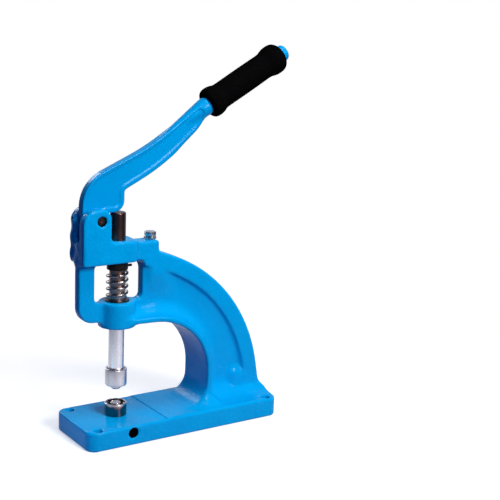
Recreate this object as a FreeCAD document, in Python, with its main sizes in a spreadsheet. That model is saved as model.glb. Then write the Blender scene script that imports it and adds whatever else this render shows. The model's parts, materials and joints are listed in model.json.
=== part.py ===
import FreeCAD, Part
import math
import os
import re

import Sketcher

# Hand press that sets eyelets: a cast C-frame on a bench base, a hand lever on
# a pivot pin, a sprung ram and a pair of dies.
# X runs along the base with the press head at -X, Y across it and Z up.
# The origin is the middle of the base's underside. Millimetres and degrees.

sizes = {
    # base
    "baseLength": 270,
    "baseWidth": 96,
    "baseThick": 25,
    "baseCorner": 13,
    "baseEdge": 2,
    "milledDrop": 0.8,
    "milledReach": 47,
    "footHoleInset": 15,
    "footHoleSideInset": 9,
    "footHoleDia": 11,
    "footHoleEdge": 0.9,
    "ramInset": 58.3,
    # C-frame: heights above the underside, reaches from the ram's axis
    "webThick": 13,
    "flangeWide": 58,
    "flangeThick": 7,
    "armBottom": 141.5,
    "armTaper": 76.7,
    "webSweep": 16,
    "throatDepth": 114.7,
    "throatRound": 74,
    "throatFoot": 28,
    "rimWide": 24,
    "rimDeep": 21,
    "rimRoot": 12,
    "crownReach": 178.2,
    "crownHeight": 182.2,
    "crownRound": 205,
    "archSlope": 18.8,
    "spineSlope": 79.7,
    "heelRound": 22,
    "skirtRound": 25.5,
    "skirtHeight": 32,
    "footLip": 0.6,
    "blindSink": 3,
    # press head
    "headWide": 39,
    "headFront": 53.8,
    "headCorner": 2.5,
    "noseRound": 8,
    "columnFront": 53.3,
    "chinRound": 20,
    "bossDia": 45,
    "bossBottom": 136.8,
    "windowFront": 32.3,
    "windowBack": 30.7,
    "windowFloor": 168.5,
    "windowTop": 217.4,
    "windowRound": 5,
    "blockTop": 243.5,
    "earBack": 12.7,
    "earCrown": 14,
    "earFrontRound": 18,
    "earBackRound": 12.5,
    "stopWide": 24,
    "stopTop": 239.7,
    "stopEnd": 50.7,
    "stopRound": 10,
    # pivot
    "pivotBack": 30,
    "pivotRise": 26.5,
    "pinDia": 12,
    "pinRecess": 3,
    "pinEdge": 1,
    # lever, reaches and rises from the pivot
    "leverThick": 12,
    "slotClear": 0.4,
    "hubFront": 18.9,
    "hubBack": 11,
    "hubDrop": 11.5,
    "hubFrontRound": 17,
    "hubBackRound": 10.5,
    "lobeReach": 22.2,
    "lobeRise": 20.4,
    "lobeRound": 13.5,
    "notchRise": 32.6,
    "notchRound": 4,
    "browRise": 43.6,
    "browRound": 45,
    "upperBendReach": 78.3,
    "upperBendRise": 87.3,
    "lowerBendReach": 89.7,
    "lowerBendRise": 59.6,
    "bendRound": 280,
    "neckReach": 136.1,
    "neckRise": 101,
    "neckRound": 20,
    # handle rod and grip, measured along the rod from the grip's near end
    "rodReach": 149.9,
    "rodRise": 129,
    "rodSlope": 30,
    "rodDia": 21,
    "rodRoot": 25,
    "shoulderLag": 7.4,
    "shoulderRound": 60,
    "underLag": 11.2,
    "underRound": 8,
    "rodTip": 8.5,
    "rodTipRound": 5,
    "gripLength": 121,
    "gripDia": 32.6,
    "gripEndDia": 38,
    "gripNearEnd": 15,
    "gripFarEnd": 18,
    "gripNeck": 8,
    "gripRound": 6,
    "gripNeckRound": 7,
    "gripClear": 0.1,
    "gripSeatGap": 0.3,
    # ram, collar and spring
    "ramDia": 19,
    "ramEdge": 1.2,
    "ramGap": 0.4,
    "runClear": 0.06,
    "fitClear": 0.04,
    "collarDia": 25.5,
    "collarLength": 10,
    "collarEdge": 0.6,
    "collarGap": 0.3,
    "crossPinDia": 3.2,
    "crossPinRise": 3,
    "crossPinFront": 11,
    "crossPinBack": 19.2,
    "crossPinEdge": 0.4,
    "seatDia": 30,
    "seatHoleDia": 20.4,
    "seatThick": 1.5,
    "wireDia": 3,
    "coilDia": 24,
    "coilTurns": 4.3,
    # dies
    "upperDieDia": 26.5,
    "upperDieTop": 83.3,
    "upperDieLength": 21,
    "upperDieFloor": 6,
    "upperDieRound": 1.8,
    "upperDieMouth": 1.4,
    "faceRecessDia": 21,
    "faceRecessDeep": 1.6,
    "noseDia": 12,
    "noseDrop": 5,
    "noseEdge": 1,
    "noseStemDia": 6,
    "noseStemGap": 0.4,
    "noseSlotWide": 1.8,
    "noseSlotDeep": 1.6,
    "lowerDieDia": 27,
    "lowerDieHeight": 15.4,
    "lowerRimWide": 2.2,
    "lowerGrooveDeep": 3.2,
    "lowerGrooveRound": 1.4,
    "lowerBossDia": 12.5,
    "lowerBossDrop": 0.4,
    "lowerEdge": 0.8,
    "shankDia": 12,
    "shankLength": 16,
    "shankSpare": 1.5,
    # screws
    "screwClear": 0.03,
    "screwEdge": 0.6,
    "tipGap": 0.1,
    "socketDeep": 2,
    "accessDia": 12.6,
    "accessDeep": 24,
    "accessHeight": 15.3,
    "baseScrewDia": 8,
    "baseScrewLength": 14,
    "dieScrewDia": 6,
    "dieScrewLength": 3.4,
    "dieScrewDrop": 6,
    "pivotScrewDia": 5,
    "pivotScrewLength": 12,
    "stopReach": 43.7,
    "stopBoltDia": 8,
    "stopBoltLength": 40,
    "stopHoleSpare": 4,
    "boltHeadHeight": 5.3,
    "hexAcross": 13,
    "hexBevel": 30,
    "lockNutHeight": 4,
    "nutGap": 0.3,
    # how far a cutting sketch runs past what it cuts
    "overrun": 1,
}

# Places worked out from the sizes.
ram_x = "(ramInset - baseLength/2)"
pivot_x = "(ramInset - baseLength/2 - pivotBack)"
head_x = "(ramInset - baseLength/2 - headFront)"
throat_x = "(ramInset - baseLength/2 + throatDepth)"
crown_x = "(ramInset - baseLength/2 + crownReach)"
rim_root_x = "(ramInset - baseLength/2 + rimRoot)"
stop_x = "(ramInset - baseLength/2 + stopReach)"
base_end = "(baseLength/2)"
milled_top = "(baseThick - milledDrop)"
lip_top = "(baseThick + footLip)"
sunk = "(baseThick - blindSink)"
heel_top = "(baseThick + skirtHeight)"
pivot_z = "(blockTop + pivotRise)"
ear_top = "(%s + earCrown)" % pivot_z
ram_top = "(%s + lobeRise - lobeRound - ramGap)" % pivot_z
ram_bottom = "(upperDieTop - upperDieLength + upperDieFloor)"
collar_bottom = "(windowTop - collarGap - collarLength)"
seat_top = "(windowFloor + seatThick)"

doc = FreeCAD.newDocument("eyelet_press")
dims = doc.addObject("Spreadsheet::Sheet", "dims")
for row, (word, size) in enumerate(sizes.items(), start=1):
    dims.set("A%d" % row, word)
    dims.set("B%d" % row, str(size))
    dims.setAlias("B%d" % row, word)
doc.recompute()
pieces = []


def cell(match):
    word = match.group(0)
    return "dims." + word if word in sizes else word


def bound(expression):
    # Point each size's name in an expression at its cell.
    return re.sub("[A-Za-z]+", cell, expression)


def number(expression):
    result = dims.evalExpression(bound(expression))
    return float(getattr(result, "Value", result))


def tie(item, prop, expression):
    item.setExpression(prop, bound(expression))


def new_body(name, x="0", y="0", z="0", axis=None, angle=0):
    # A named piece whose own origin sits at x, y, z, turned about an axis.
    body = doc.addObject("PartDesign::Body", name)
    body.Label = name
    if axis:
        body.Placement = FreeCAD.Placement(FreeCAD.Vector(), FreeCAD.Rotation(axis, angle))
    place(body, x, y, z)
    pieces.append(body)
    return body


def place(item, x, y, z):
    tie(item, "Placement.Base.x", x)
    tie(item, "Placement.Base.y", y)
    tie(item, "Placement.Base.z", z)


x_axis = FreeCAD.Vector(1, 0, 0)
y_axis = FreeCAD.Vector(0, 1, 0)
z_axis = FreeCAD.Vector(0, 0, 1)


def new_sketch(body, name, role, lift="0"):
    # A sketch on one of the body's origin planes, lifted along the plane's normal.
    # XZ_Plane's normal is -Y.
    sketch = body.newObject("Sketcher::SketchObject", body.Name + "_" + name)
    plane = [item for item in body.Origin.OriginFeatures if item.Role == role][0]
    sketch.AttachmentSupport = [(plane, "")]
    sketch.MapMode = "FlatFace"
    tie(sketch, "AttachmentOffset.Base.z", lift)
    return sketch


def hold(sketch, rules):
    # Add the constraints, then bind the ones that carry a size.
    first = sketch.ConstraintCount
    sketch.addConstraint([Sketcher.Constraint(*rule) for rule, _ in rules])
    for place_in_list, (_, expression) in enumerate(rules):
        if expression:
            tie(sketch, "Constraints[%d]" % (first + place_in_list), expression)


def at_point(geometry, end, x, y):
    return [(("DistanceX", geometry, end, number(x)), x), (("DistanceY", geometry, end, number(y)), y)]


def circle(sketch, x, y, diameter):
    centre = FreeCAD.Vector(number(x), number(y), 0)
    index = sketch.addGeometry(Part.Circle(centre, z_axis, number(diameter) / 2))
    hold(sketch, at_point(index, 3, x, y) + [(("Diameter", index, number(diameter)), diameter)])


def rounded_corner(before, corner, after, radius):
    # Where the arc leaves both sides, and the arc itself. Arcs run anticlockwise.
    back = (before - corner).normalize()
    ahead = (after - corner).normalize()
    setback = radius / math.tan(back.getAngle(ahead) / 2)
    enter = corner + back * setback
    leave = corner + ahead * setback
    left_turn = back.cross(ahead).z < 0
    side = 1 if left_turn else -1
    centre = enter + FreeCAD.Vector(back.y, -back.x, 0) * radius * side
    first, last = (enter, leave) if left_turn else (leave, enter)
    start = math.atan2(first.y - centre.y, first.x - centre.x)
    stop = math.atan2(last.y - centre.y, last.x - centre.x)
    if stop < start:
        stop += 2 * math.pi
    arc = Part.ArcOfCircle(Part.Circle(centre, z_axis, radius), start, stop)
    return enter, leave, arc, left_turn


def outline(sketch, corners):
    # A closed outline of straight lines and tangent arcs.
    # Each corner is (x, y) or (x, y, radius), in order round the outline.
    points = [FreeCAD.Vector(number(corner[0]), number(corner[1]), 0) for corner in corners]
    count = len(points)
    enters, leaves, arcs = list(points), list(points), {}
    for i, corner in enumerate(corners):
        if len(corner) > 2:
            found = rounded_corner(points[i - 1], points[i], points[(i + 1) % count], number(corner[2]))
            enters[i], leaves[i] = found[:2]
            arcs[i] = found[2:]
    lines = [sketch.addGeometry(Part.LineSegment(leaves[i], enters[(i + 1) % count])) for i in range(count)]
    rules = []
    for i, corner in enumerate(corners):
        before, after = lines[i - 1], lines[i]
        if i not in arcs:
            rules.append((("Coincident", before, 2, after, 1), None))
            rules += at_point(after, 1, corner[0], corner[1])
            continue
        shape, left_turn = arcs[i]
        arc = sketch.addGeometry(shape)
        mark = sketch.addGeometry(Part.Point(points[i]), True)
        arc_enter, arc_leave = (1, 2) if left_turn else (2, 1)
        rules.append((("Tangent", before, 2, arc, arc_enter), None))
        rules.append((("Tangent", arc, arc_leave, after, 1), None))
        rules.append((("Radius", arc, shape.Radius), corner[2]))
        rules.append((("PointOnObject", mark, 1, before), None))
        rules.append((("PointOnObject", mark, 1, after), None))
        rules += at_point(mark, 1, corner[0], corner[1])
    hold(sketch, rules)


def rectangle(sketch, x1, y1, x2, y2):
    outline(sketch, [(x1, y1), (x2, y1), (x2, y2), (x1, y2)])


def hexagon(sketch, across):
    # A flat faces each way along the sketch's first axis.
    corner = [("%s/sqrt(3)*cos(60*%d + 30)" % (across, k), "%s/sqrt(3)*sin(60*%d + 30)" % (across, k))
              for k in range(6)]
    outline(sketch, corner)


def extrude(kind, body, sketch, length, both=False, flip=False):
    # A pad runs along the sketch's normal and a pocket against it, unless flipped.
    feature = body.newObject("PartDesign::" + kind, sketch.Name + "_" + kind.lower())
    feature.Profile = sketch
    if both:
        feature.SideType = "Symmetric"
    feature.Reversed = flip
    tie(feature, "Length", length)
    return feature


def revolve(kind, body, sketch, axis="V_Axis"):
    feature = body.newObject("PartDesign::" + kind, sketch.Name + "_" + kind.lower())
    feature.Profile = sketch
    feature.ReferenceAxis = (sketch, [axis])
    feature.Angle = 360
    return feature


def turned(body, corners):
    # A lathe-turned shape: corners are (radius, height) about the body's Z axis.
    sketch = new_sketch(body, "profile", "XZ_Plane")
    outline(sketch, corners)
    return revolve("Revolution", body, sketch)


def rod_corners(diameter, low, high, edge):
    # The profile of a round bar with both ends chamfered.
    radius = "%s/2" % diameter
    inner = "(%s/2 - %s)" % (diameter, edge)
    return [("0", low), (inner, low), (radius, "%s + %s" % (low, edge)),
            (radius, "%s - %s" % (high, edge)), (inner, high), ("0", high)]


def edge_names(feature, test):
    # The names of a feature's edges that pass a test, once the feature is built.
    doc.recompute()
    return ["Edge%d" % (i + 1) for i, edge in enumerate(feature.Shape.Edges) if test(edge)]


def soften(kind, body, feature, prop, size, test):
    # A fillet or chamfer on the edges that pass a test.
    names = edge_names(feature, test)
    finish = body.newObject("PartDesign::" + kind, feature.Name + "_" + kind.lower())
    finish.Base = (feature, names)
    tie(finish, prop, size)
    return finish


def level(edge, height):
    box = edge.BoundBox
    return abs(box.ZMin - height) < 1e-4 and abs(box.ZMax - height) < 1e-4


def base_plate(body):
    sketch = new_sketch(body, "base", "XY_Plane")
    x, y = base_end, "baseWidth/2"
    outline(sketch, [("-" + x, "-" + y, "baseCorner"), (x, "-" + y, "baseCorner"),
                     (x, y, "baseCorner"), ("-" + x, y, "baseCorner")])
    plate = extrude("Pad", body, sketch, "baseThick")
    top = number("baseThick")
    soften("Fillet", body, plate, "Radius", "baseEdge", lambda edge: level(edge, top))
    # Round the lower die the base's top is milled flat, a little lower than the casting.
    face = new_sketch(body, "milled_face", "XY_Plane", "baseThick")
    side = "(baseWidth/2 + overrun)"
    rectangle(face, "-(baseLength/2 + overrun)", "-" + side, "%s + milledReach" % ram_x, side)
    extrude("Pocket", body, face, "milledDrop")


def crown_inset(depth):
    # The crown's corner, moved inwards by a depth from both of its sides.
    shared = "%s/(1 + cos(spineSlope - archSlope))" % depth
    x = "(%s - (sin(archSlope) + sin(spineSlope))*%s)" % (crown_x, shared)
    z = "(crownHeight - (cos(archSlope) + cos(spineSlope))*%s)" % shared
    return x, z


def arch_line(x, depth):
    # Height of the arch's sloping top, and of lines parallel to it, at x.
    corner_x, corner_z = crown_inset(depth)
    return "(%s + (%s - %s)*tan(archSlope))" % (corner_z, corner_x, x)


def spine_line(z, depth):
    # Reach of the spine's back, and of lines parallel to it, at z.
    corner_x, corner_z = crown_inset(depth)
    return "(%s + (%s - %s)/tan(spineSlope))" % (corner_x, corner_z, z)


def frame_web(body):
    # The thin web that joins the head, the arm and the spine.
    sketch = new_sketch(body, "web", "XZ_Plane")
    front = "(ramInset - baseLength/2 - columnFront)"
    bottom = "(armBottom + flangeThick/2)"
    inner = "(%s + flangeThick/2)" % throat_x
    middle = "rimDeep/2"
    corner_x, corner_z = crown_inset(middle)
    top = arch_line(rim_root_x, middle)
    outline(sketch, [(front, bottom, "chinRound"), (inner, bottom, "(throatRound + flangeThick/2)"),
                     (inner, sunk), (spine_line(sunk, middle), sunk),
                     (corner_x, corner_z, "(crownRound - rimDeep/2)"), (rim_root_x, top), (front, top)])
    extrude("Pad", body, sketch, "webThick", both=True)


def frame_rim(body):
    # The thick outer rim, from the head over the arch and down to the heel.
    sketch = new_sketch(body, "rim", "XZ_Plane")
    inner_x, inner_z = crown_inset("rimDeep")
    outline(sketch, [(rim_root_x, arch_line(rim_root_x, "rimDeep")),
                     (inner_x, inner_z, "(crownRound - rimDeep)"),
                     (spine_line(sunk, "rimDeep"), sunk), (base_end, sunk), (base_end, heel_top),
                     (spine_line(heel_top, "0"), heel_top),
                     (crown_x, "crownHeight", "crownRound"), (rim_root_x, arch_line(rim_root_x, "0"))])
    extrude("Pad", body, sketch, "rimWide", both=True)


def frame_flange(body):
    # The broad flange that lines the throat, from the lower boss to its foot.
    sketch = new_sketch(body, "flange", "XZ_Plane")
    outer = "(%s + flangeThick)" % throat_x
    top = "(armBottom + flangeThick)"
    toe = "(%s - throatFoot - footLip)" % throat_x
    outline(sketch, [(ram_x, "armBottom"), (throat_x, "armBottom", "throatRound"),
                     (throat_x, lip_top, "throatFoot"), (toe, lip_top), (toe, sunk), (outer, sunk),
                     (outer, top, "(throatRound + flangeThick)"), (ram_x, top)])
    flange = extrude("Pad", body, sketch, "flangeWide", both=True)
    # The web sweeps out to the flange in a hollow curve.
    side, height, far, sweep = (number(size) for size in ("webThick/2", top, outer, "webSweep"))

    def in_corner(edge):
        box = edge.BoundBox
        on_web = box.YLength < 1e-4 and abs(abs(box.YMin) - side) < 1e-4
        on_flange = abs(box.ZMax - height) < 1e-4 or abs(box.XMax - far) < 1e-4
        return on_web and on_flange and edge.Length > sweep

    soften("Fillet", body, flange, "Radius", "webSweep", in_corner)
    # Under the arm the flange narrows to the lower boss.
    taper = new_sketch(body, "taper", "XY_Plane", "armBottom - throatRound")
    wide_end = "(%s + armTaper)" % ram_x
    out = "(flangeWide/2 + overrun)"
    outline(taper, [(ram_x, "bossDia/2"), (wide_end, "flangeWide/2"), (wide_end, out), (ram_x, out)])
    outline(taper, [(ram_x, "-bossDia/2"), (ram_x, "-" + out), (wide_end, "-" + out),
                    (wide_end, "-flangeWide/2")])
    extrude("Pocket", body, taper, "throatRound + flangeThick + overrun", flip=True)


def frame_skirt(body):
    # The spine's foot spreads sideways in two hollow curves.
    sketch = new_sketch(body, "skirt", "YZ_Plane", "%s + flangeThick/2" % throat_x)
    side = "(webThick/2)"
    toe = "(webThick/2 + skirtRound + footLip)"
    outline(sketch, [("-" + toe, sunk), (toe, sunk), (toe, lip_top), (side, lip_top, "skirtRound"),
                     (side, heel_top), ("-" + side, heel_top), ("-" + side, lip_top, "skirtRound"),
                     ("-" + toe, lip_top)])
    extrude("Pad", body, sketch, "%s - %s - flangeThick/2" % (base_end, throat_x))
    # Behind the spine the foot runs out to the base's end in another hollow curve.
    heel = new_sketch(body, "heel", "XZ_Plane")
    top = "(%s + overrun)" % heel_top
    far = "(%s + 2*heelRound)" % base_end
    outline(heel, [(spine_line(top, "0"), top), (spine_line(lip_top, "0"), lip_top, "heelRound"),
                   (far, lip_top), (far, top)])
    extrude("Pocket", body, heel, "baseWidth", both=True)


def press_head(body):
    boss = new_sketch(body, "lower_boss", "XY_Plane", "bossBottom")
    circle(boss, ram_x, "0", "bossDia")
    extrude("Pad", body, boss, "windowFloor - bossBottom")
    block = new_sketch(body, "block", "XY_Plane", "windowTop")
    half = "headWide/2"
    nose = "(%s + headWide/2)" % ram_x
    outline(block, [(head_x, "-" + half, "headCorner"), (nose, "-" + half, "noseRound"),
                    (nose, half, "noseRound"), (head_x, half, "headCorner")])
    extrude("Pad", body, block, "blockTop - windowTop")
    stop = new_sketch(body, "stop_boss", "XY_Plane", "windowTop")
    end = "(%s + stopEnd)" % ram_x
    wide = "stopWide/2"
    outline(stop, [(rim_root_x, "-" + wide), (end, "-" + wide, "stopRound"),
                   (end, wide, "stopRound"), (rim_root_x, wide)])
    extrude("Pad", body, stop, "stopTop - windowTop")
    ears = new_sketch(body, "ears", "XZ_Plane")
    back = "(%s + earBack)" % pivot_x
    root = "(blockTop - headCorner)"
    outline(ears, [(head_x, root), (back, root), (back, ear_top, "earBackRound"),
                   (head_x, ear_top, "earFrontRound")])
    extrude("Pad", body, ears, "headWide", both=True)
    slot = new_sketch(body, "lever_slot", "XZ_Plane")
    rectangle(slot, "%s - overrun" % head_x, "blockTop", ram_x, "%s + overrun" % ear_top)
    extrude("Pocket", body, slot, "leverThick + 2*slotClear", both=True)


def frame_openings(body):
    window = new_sketch(body, "window", "XZ_Plane")
    left = "(%s - windowFront)" % ram_x
    right = "(%s + windowBack)" % ram_x
    outline(window, [(left, "windowFloor", "windowRound"), (right, "windowFloor", "windowRound"),
                     (right, "windowTop", "windowRound"), (left, "windowTop", "windowRound")])
    extrude("Pocket", body, window, "rimWide + 2*overrun", both=True)
    ram = new_sketch(body, "ram_bore", "XY_Plane", "blockTop + overrun")
    circle(ram, ram_x, "0", "ramDia + 2*runClear")
    extrude("Pocket", body, ram, "blockTop - bossBottom + 2*overrun")
    pivot = new_sketch(body, "pivot_bore", "XZ_Plane")
    circle(pivot, pivot_x, pivot_z, "pinDia + 2*fitClear")
    extrude("Pocket", body, pivot, "headWide + 2*overrun", both=True)
    screw = new_sketch(body, "pivot_screw_hole", "YZ_Plane", head_x)
    circle(screw, "(headWide + leverThick)/4 + slotClear/2", pivot_z, "pivotScrewDia + 2*screwClear")
    extrude("Pocket", body, screw, "headFront - pivotBack", flip=True)
    stop = new_sketch(body, "stop_hole", "XY_Plane", "stopTop")
    circle(stop, stop_x, "0", "stopBoltDia + 2*screwClear")
    extrude("Pocket", body, stop, "stopBoltLength - lockNutHeight + stopHoleSpare")


def base_openings(body):
    shank = new_sketch(body, "shank_bore", "XY_Plane", milled_top)
    circle(shank, ram_x, "0", "shankDia + 2*fitClear")
    extrude("Pocket", body, shank, "shankLength + shankSpare")
    access = new_sketch(body, "side_access", "XZ_Plane", "baseWidth/2")
    circle(access, ram_x, "accessHeight", "accessDia")
    extrude("Pocket", body, access, "accessDeep")
    thread = new_sketch(body, "side_thread", "XZ_Plane", "baseWidth/2 - accessDeep")
    circle(thread, ram_x, "accessHeight", "baseScrewDia + 2*screwClear")
    extrude("Pocket", body, thread, "baseWidth/2 - accessDeep")
    holes = new_sketch(body, "foot_holes", "XY_Plane", "baseThick + overrun")
    x, y = "(baseLength/2 - footHoleInset)", "(baseWidth/2 - footHoleSideInset)"
    for side_x in ("", "-"):
        for side_y in ("", "-"):
            circle(holes, side_x + x, side_y + y, "footHoleDia")
    drilled = extrude("Pocket", body, holes, "baseThick + 2*overrun")
    tops = (number("baseThick"), number(milled_top))
    wide = number("footHoleDia")
    soften("Chamfer", body, drilled, "Size", "footHoleEdge",
           lambda edge: edge.isClosed() and abs(edge.BoundBox.XLength - wide) < 1e-4
           and any(level(edge, top) for top in tops))


def frame_casting():
    body = new_body("frame_casting")
    base_plate(body)
    base_openings(body)
    frame_web(body)
    frame_rim(body)
    frame_flange(body)
    frame_skirt(body)
    press_head(body)
    frame_openings(body)


def along_rod(distance, offset):
    # A point beside the rod: distance along it and offset square to it.
    x = "(rodReach + (%s)*cos(rodSlope) - (%s)*sin(rodSlope))" % (distance, offset)
    z = "(rodRise + (%s)*sin(rodSlope) + (%s)*cos(rodSlope))" % (distance, offset)
    return x, z


def lever():
    # The body's own origin is the pivot.
    body = new_body("lever", pivot_x, "0", pivot_z)
    sketch = new_sketch(body, "plate", "XZ_Plane")
    lobe_bottom = "(lobeRise - lobeRound)"
    lobe_end = "(lobeReach + lobeRound)"
    outline(sketch, [("-hubFront", "-hubDrop", "hubFrontRound"), ("hubBack", "-hubDrop", "hubBackRound"),
                     ("hubBack", lobe_bottom), (lobe_end, lobe_bottom, "lobeRound"),
                     (lobe_end, "notchRise", "notchRound"),
                     ("lowerBendReach", "lowerBendRise", "bendRound"), ("neckReach", "neckRise", "neckRound"),
                     along_rod("-underLag", "-rodDia/2") + ("underRound",),
                     along_rod("-gripSeatGap", "-rodDia/2"), along_rod("-gripSeatGap", "rodDia/2"),
                     along_rod("-shoulderLag", "rodDia/2") + ("shoulderRound",),
                     ("upperBendReach", "upperBendRise", "bendRound"),
                     ("-hubFront", "browRise", "browRound")])
    extrude("Pad", body, sketch, "leverThick", both=True)
    rod = new_sketch(body, "rod", "XZ_Plane")
    rod.AttachmentOffset = FreeCAD.Placement(FreeCAD.Vector(), FreeCAD.Rotation(z_axis, sizes["rodSlope"]))
    tie(rod, "AttachmentOffset.Base.x", "rodReach")
    tie(rod, "AttachmentOffset.Base.y", "rodRise")
    tie(rod, "AttachmentOffset.Rotation.Angle", "rodSlope")
    tip = "(gripLength + rodTip)"
    outline(rod, [("-rodRoot", "0"), (tip, "0"), (tip, "rodDia/2", "rodTipRound"), ("0", "rodDia/2"),
                  ("-rodRoot", "leverThick/2")])
    revolve("Revolution", body, rod, "H_Axis")
    bore = new_sketch(body, "pivot_bore", "XZ_Plane")
    circle(bore, "0", "0", "pinDia + 2*runClear")
    extrude("Pocket", body, bore, "leverThick + 2*overrun", both=True)


def handle_grip():
    # The body's own X axis is the rod's, from the grip's near end.
    x, z = "%s + rodReach" % pivot_x, "%s + rodRise" % pivot_z
    body = new_body("handle_grip", x, "0", z, y_axis, -sizes["rodSlope"])
    sketch = new_sketch(body, "profile", "XZ_Plane")
    bore = "(rodDia/2 + gripClear)"
    end = "gripEndDia/2"
    waist = "gripDia/2"
    outline(sketch, [("0", bore), ("gripLength", bore), ("gripLength", end, "gripRound"),
                     ("gripLength - gripFarEnd", end, "gripNeckRound"),
                     ("gripLength - gripFarEnd - gripNeck", waist, "gripNeckRound"),
                     ("gripNearEnd + gripNeck", waist, "gripNeckRound"),
                     ("gripNearEnd", end, "gripNeckRound"), ("0", end, "gripRound")])
    revolve("Revolution", body, sketch, "H_Axis")


def pivot_pin():
    # The bar is drawn upright and laid across the ears.
    body = new_body("pivot_pin", pivot_x, "-(headWide/2 - pinRecess)", pivot_z, x_axis, -90)
    turned(body, rod_corners("pinDia", "0", "(headWide - 2*pinRecess)", "pinEdge"))


def ram():
    body = new_body("ram", ram_x, "0", ram_bottom)
    turned(body, rod_corners("ramDia", "0", "(%s - %s)" % (ram_top, ram_bottom), "ramEdge"))
    hole = new_sketch(body, "pin_hole", "YZ_Plane")
    circle(hole, "0", "%s + crossPinRise - %s" % (collar_bottom, ram_bottom), "crossPinDia + 2*fitClear")
    extrude("Pocket", body, hole, "ramDia + 2*overrun", both=True)


def spring_collar():
    body = new_body("spring_collar", ram_x, "0", collar_bottom)
    bore = "(ramDia/2 + fitClear)"
    outside = "collarDia/2"
    turned(body, [(bore, "0"), (outside, "0"), (outside, "collarLength - collarEdge"),
                  (outside + " - collarEdge", "collarLength"), (bore, "collarLength")])
    hole = new_sketch(body, "pin_hole", "YZ_Plane")
    circle(hole, "0", "crossPinRise", "crossPinDia + 2*fitClear")
    extrude("Pocket", body, hole, "collarDia + 2*overrun", both=True)


def collar_cross_pin():
    height = "%s + crossPinRise" % collar_bottom
    body = new_body("collar_cross_pin", "%s - crossPinFront" % ram_x, "0", height, y_axis, 90)
    turned(body, rod_corners("crossPinDia", "0", "(crossPinFront + crossPinBack)", "crossPinEdge"))


def spring_seat_washer():
    body = new_body("spring_seat_washer", ram_x, "0", "windowFloor")
    turned(body, [("seatHoleDia/2", "0"), ("seatDia/2", "0"), ("seatDia/2", "seatThick"),
                  ("seatHoleDia/2", "seatThick")])


def return_spring():
    # A coiled wire that stands on the washer and carries the collar.
    height = "(%s - %s - wireDia)" % (collar_bottom, seat_top)
    path = doc.addObject("Part::Helix", "spring_path")
    tie(path, "Pitch", "%s/coilTurns" % height)
    tie(path, "Height", height)
    tie(path, "Radius", "coilDia/2")
    wire = doc.addObject("Part::Circle", "spring_wire")
    wire.Placement = FreeCAD.Placement(FreeCAD.Vector(), FreeCAD.Rotation(x_axis, 90))
    place(wire, "coilDia/2", "0", "0")
    tie(wire, "Radius", "wireDia/2")
    spring = doc.addObject("Part::Sweep", "return_spring")
    spring.Label = "return_spring"
    spring.Sections = [wire]
    spring.Spine = (path, [])
    spring.Solid = True
    spring.Frenet = True
    place(spring, ram_x, "0", "%s + wireDia/2" % seat_top)
    pieces.append(spring)


def upper_die():
    body = new_body("upper_die", ram_x, "0", "upperDieTop - upperDieLength")
    outside = "upperDieDia/2"
    bore = "(ramDia/2 + fitClear)"
    stem = "(noseStemDia/2 + screwClear)"
    turned(body, [(stem, "faceRecessDeep"), ("faceRecessDia/2", "faceRecessDeep"), ("faceRecessDia/2", "0"),
                  (outside, "0", "upperDieRound"), (outside, "upperDieLength"),
                  (bore + " + upperDieMouth", "upperDieLength"),
                  (bore, "upperDieLength - upperDieMouth"), (bore, "upperDieFloor"), (stem, "upperDieFloor")])
    hole = new_sketch(body, "screw_hole", "XZ_Plane")
    circle(hole, "0", "upperDieLength - dieScrewDrop", "dieScrewDia + 2*screwClear")
    extrude("Pocket", body, hole, "upperDieDia/2 + overrun")


def upper_die_nose():
    body = new_body("upper_die_nose", ram_x, "0", "upperDieTop - upperDieLength - noseDrop")
    outside = "noseDia/2"
    seat = "(noseDrop + faceRecessDeep)"
    end = "(noseDrop + upperDieFloor - noseStemGap)"
    turned(body, [("0", "0"), (outside + " - noseEdge", "0"), (outside, "noseEdge"), (outside, seat),
                  ("noseStemDia/2", seat), ("noseStemDia/2", end), ("0", end)])
    slot = new_sketch(body, "slot", "YZ_Plane")
    rectangle(slot, "-noseSlotWide/2", "-overrun", "noseSlotWide/2", "noseSlotDeep")
    extrude("Pocket", body, slot, "noseDia + 2*overrun", both=True)


def lower_die():
    body = new_body("lower_die", ram_x, "0", milled_top)
    outside = "lowerDieDia/2"
    groove = "(lowerDieDia/2 - lowerRimWide)"
    groove_floor = "(lowerDieHeight - lowerGrooveDeep)"
    boss_top = "(lowerDieHeight - lowerBossDrop)"
    shank = "shankDia/2"
    turned(body, [("0", "-shankLength"), (shank + " - screwEdge", "-shankLength"),
                  (shank, "-shankLength + screwEdge"), (shank, "0"), (outside + " - lowerEdge", "0"),
                  (outside, "lowerEdge"), (outside, "lowerDieHeight"), (groove, "lowerDieHeight"),
                  (groove, groove_floor, "lowerGrooveRound"),
                  ("lowerBossDia/2", groove_floor, "lowerGrooveRound"),
                  ("lowerBossDia/2", boss_top), ("0", boss_top)])


def grub_screw(name, diameter, length, x, y, z, axis, angle):
    # A headless screw that points along its own -Z, with a hexagon socket at the top.
    body = new_body(name, x, y, z, axis, angle)
    turned(body, rod_corners(diameter, "0", length, "screwEdge"))
    socket = new_sketch(body, "socket", "XY_Plane", length)
    hexagon(socket, "%s/2" % diameter)
    extrude("Pocket", body, socket, "socketDeep")


def grub_screws():
    grub_screw("lower_die_set_screw", "baseScrewDia", "baseScrewLength",
               ram_x, "-(shankDia/2 + tipGap)", "accessHeight", x_axis, 90)
    grub_screw("upper_die_set_screw", "dieScrewDia", "dieScrewLength",
               ram_x, "ramDia/2 + tipGap", "upperDieTop - dieScrewDrop", x_axis, -90)
    grub_screw("pivot_set_screw", "pivotScrewDia", "pivotScrewLength",
               "%s - pinDia/2 - tipGap" % pivot_x, "(headWide + leverThick)/4 + slotClear/2",
               pivot_z, y_axis, -90)


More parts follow.
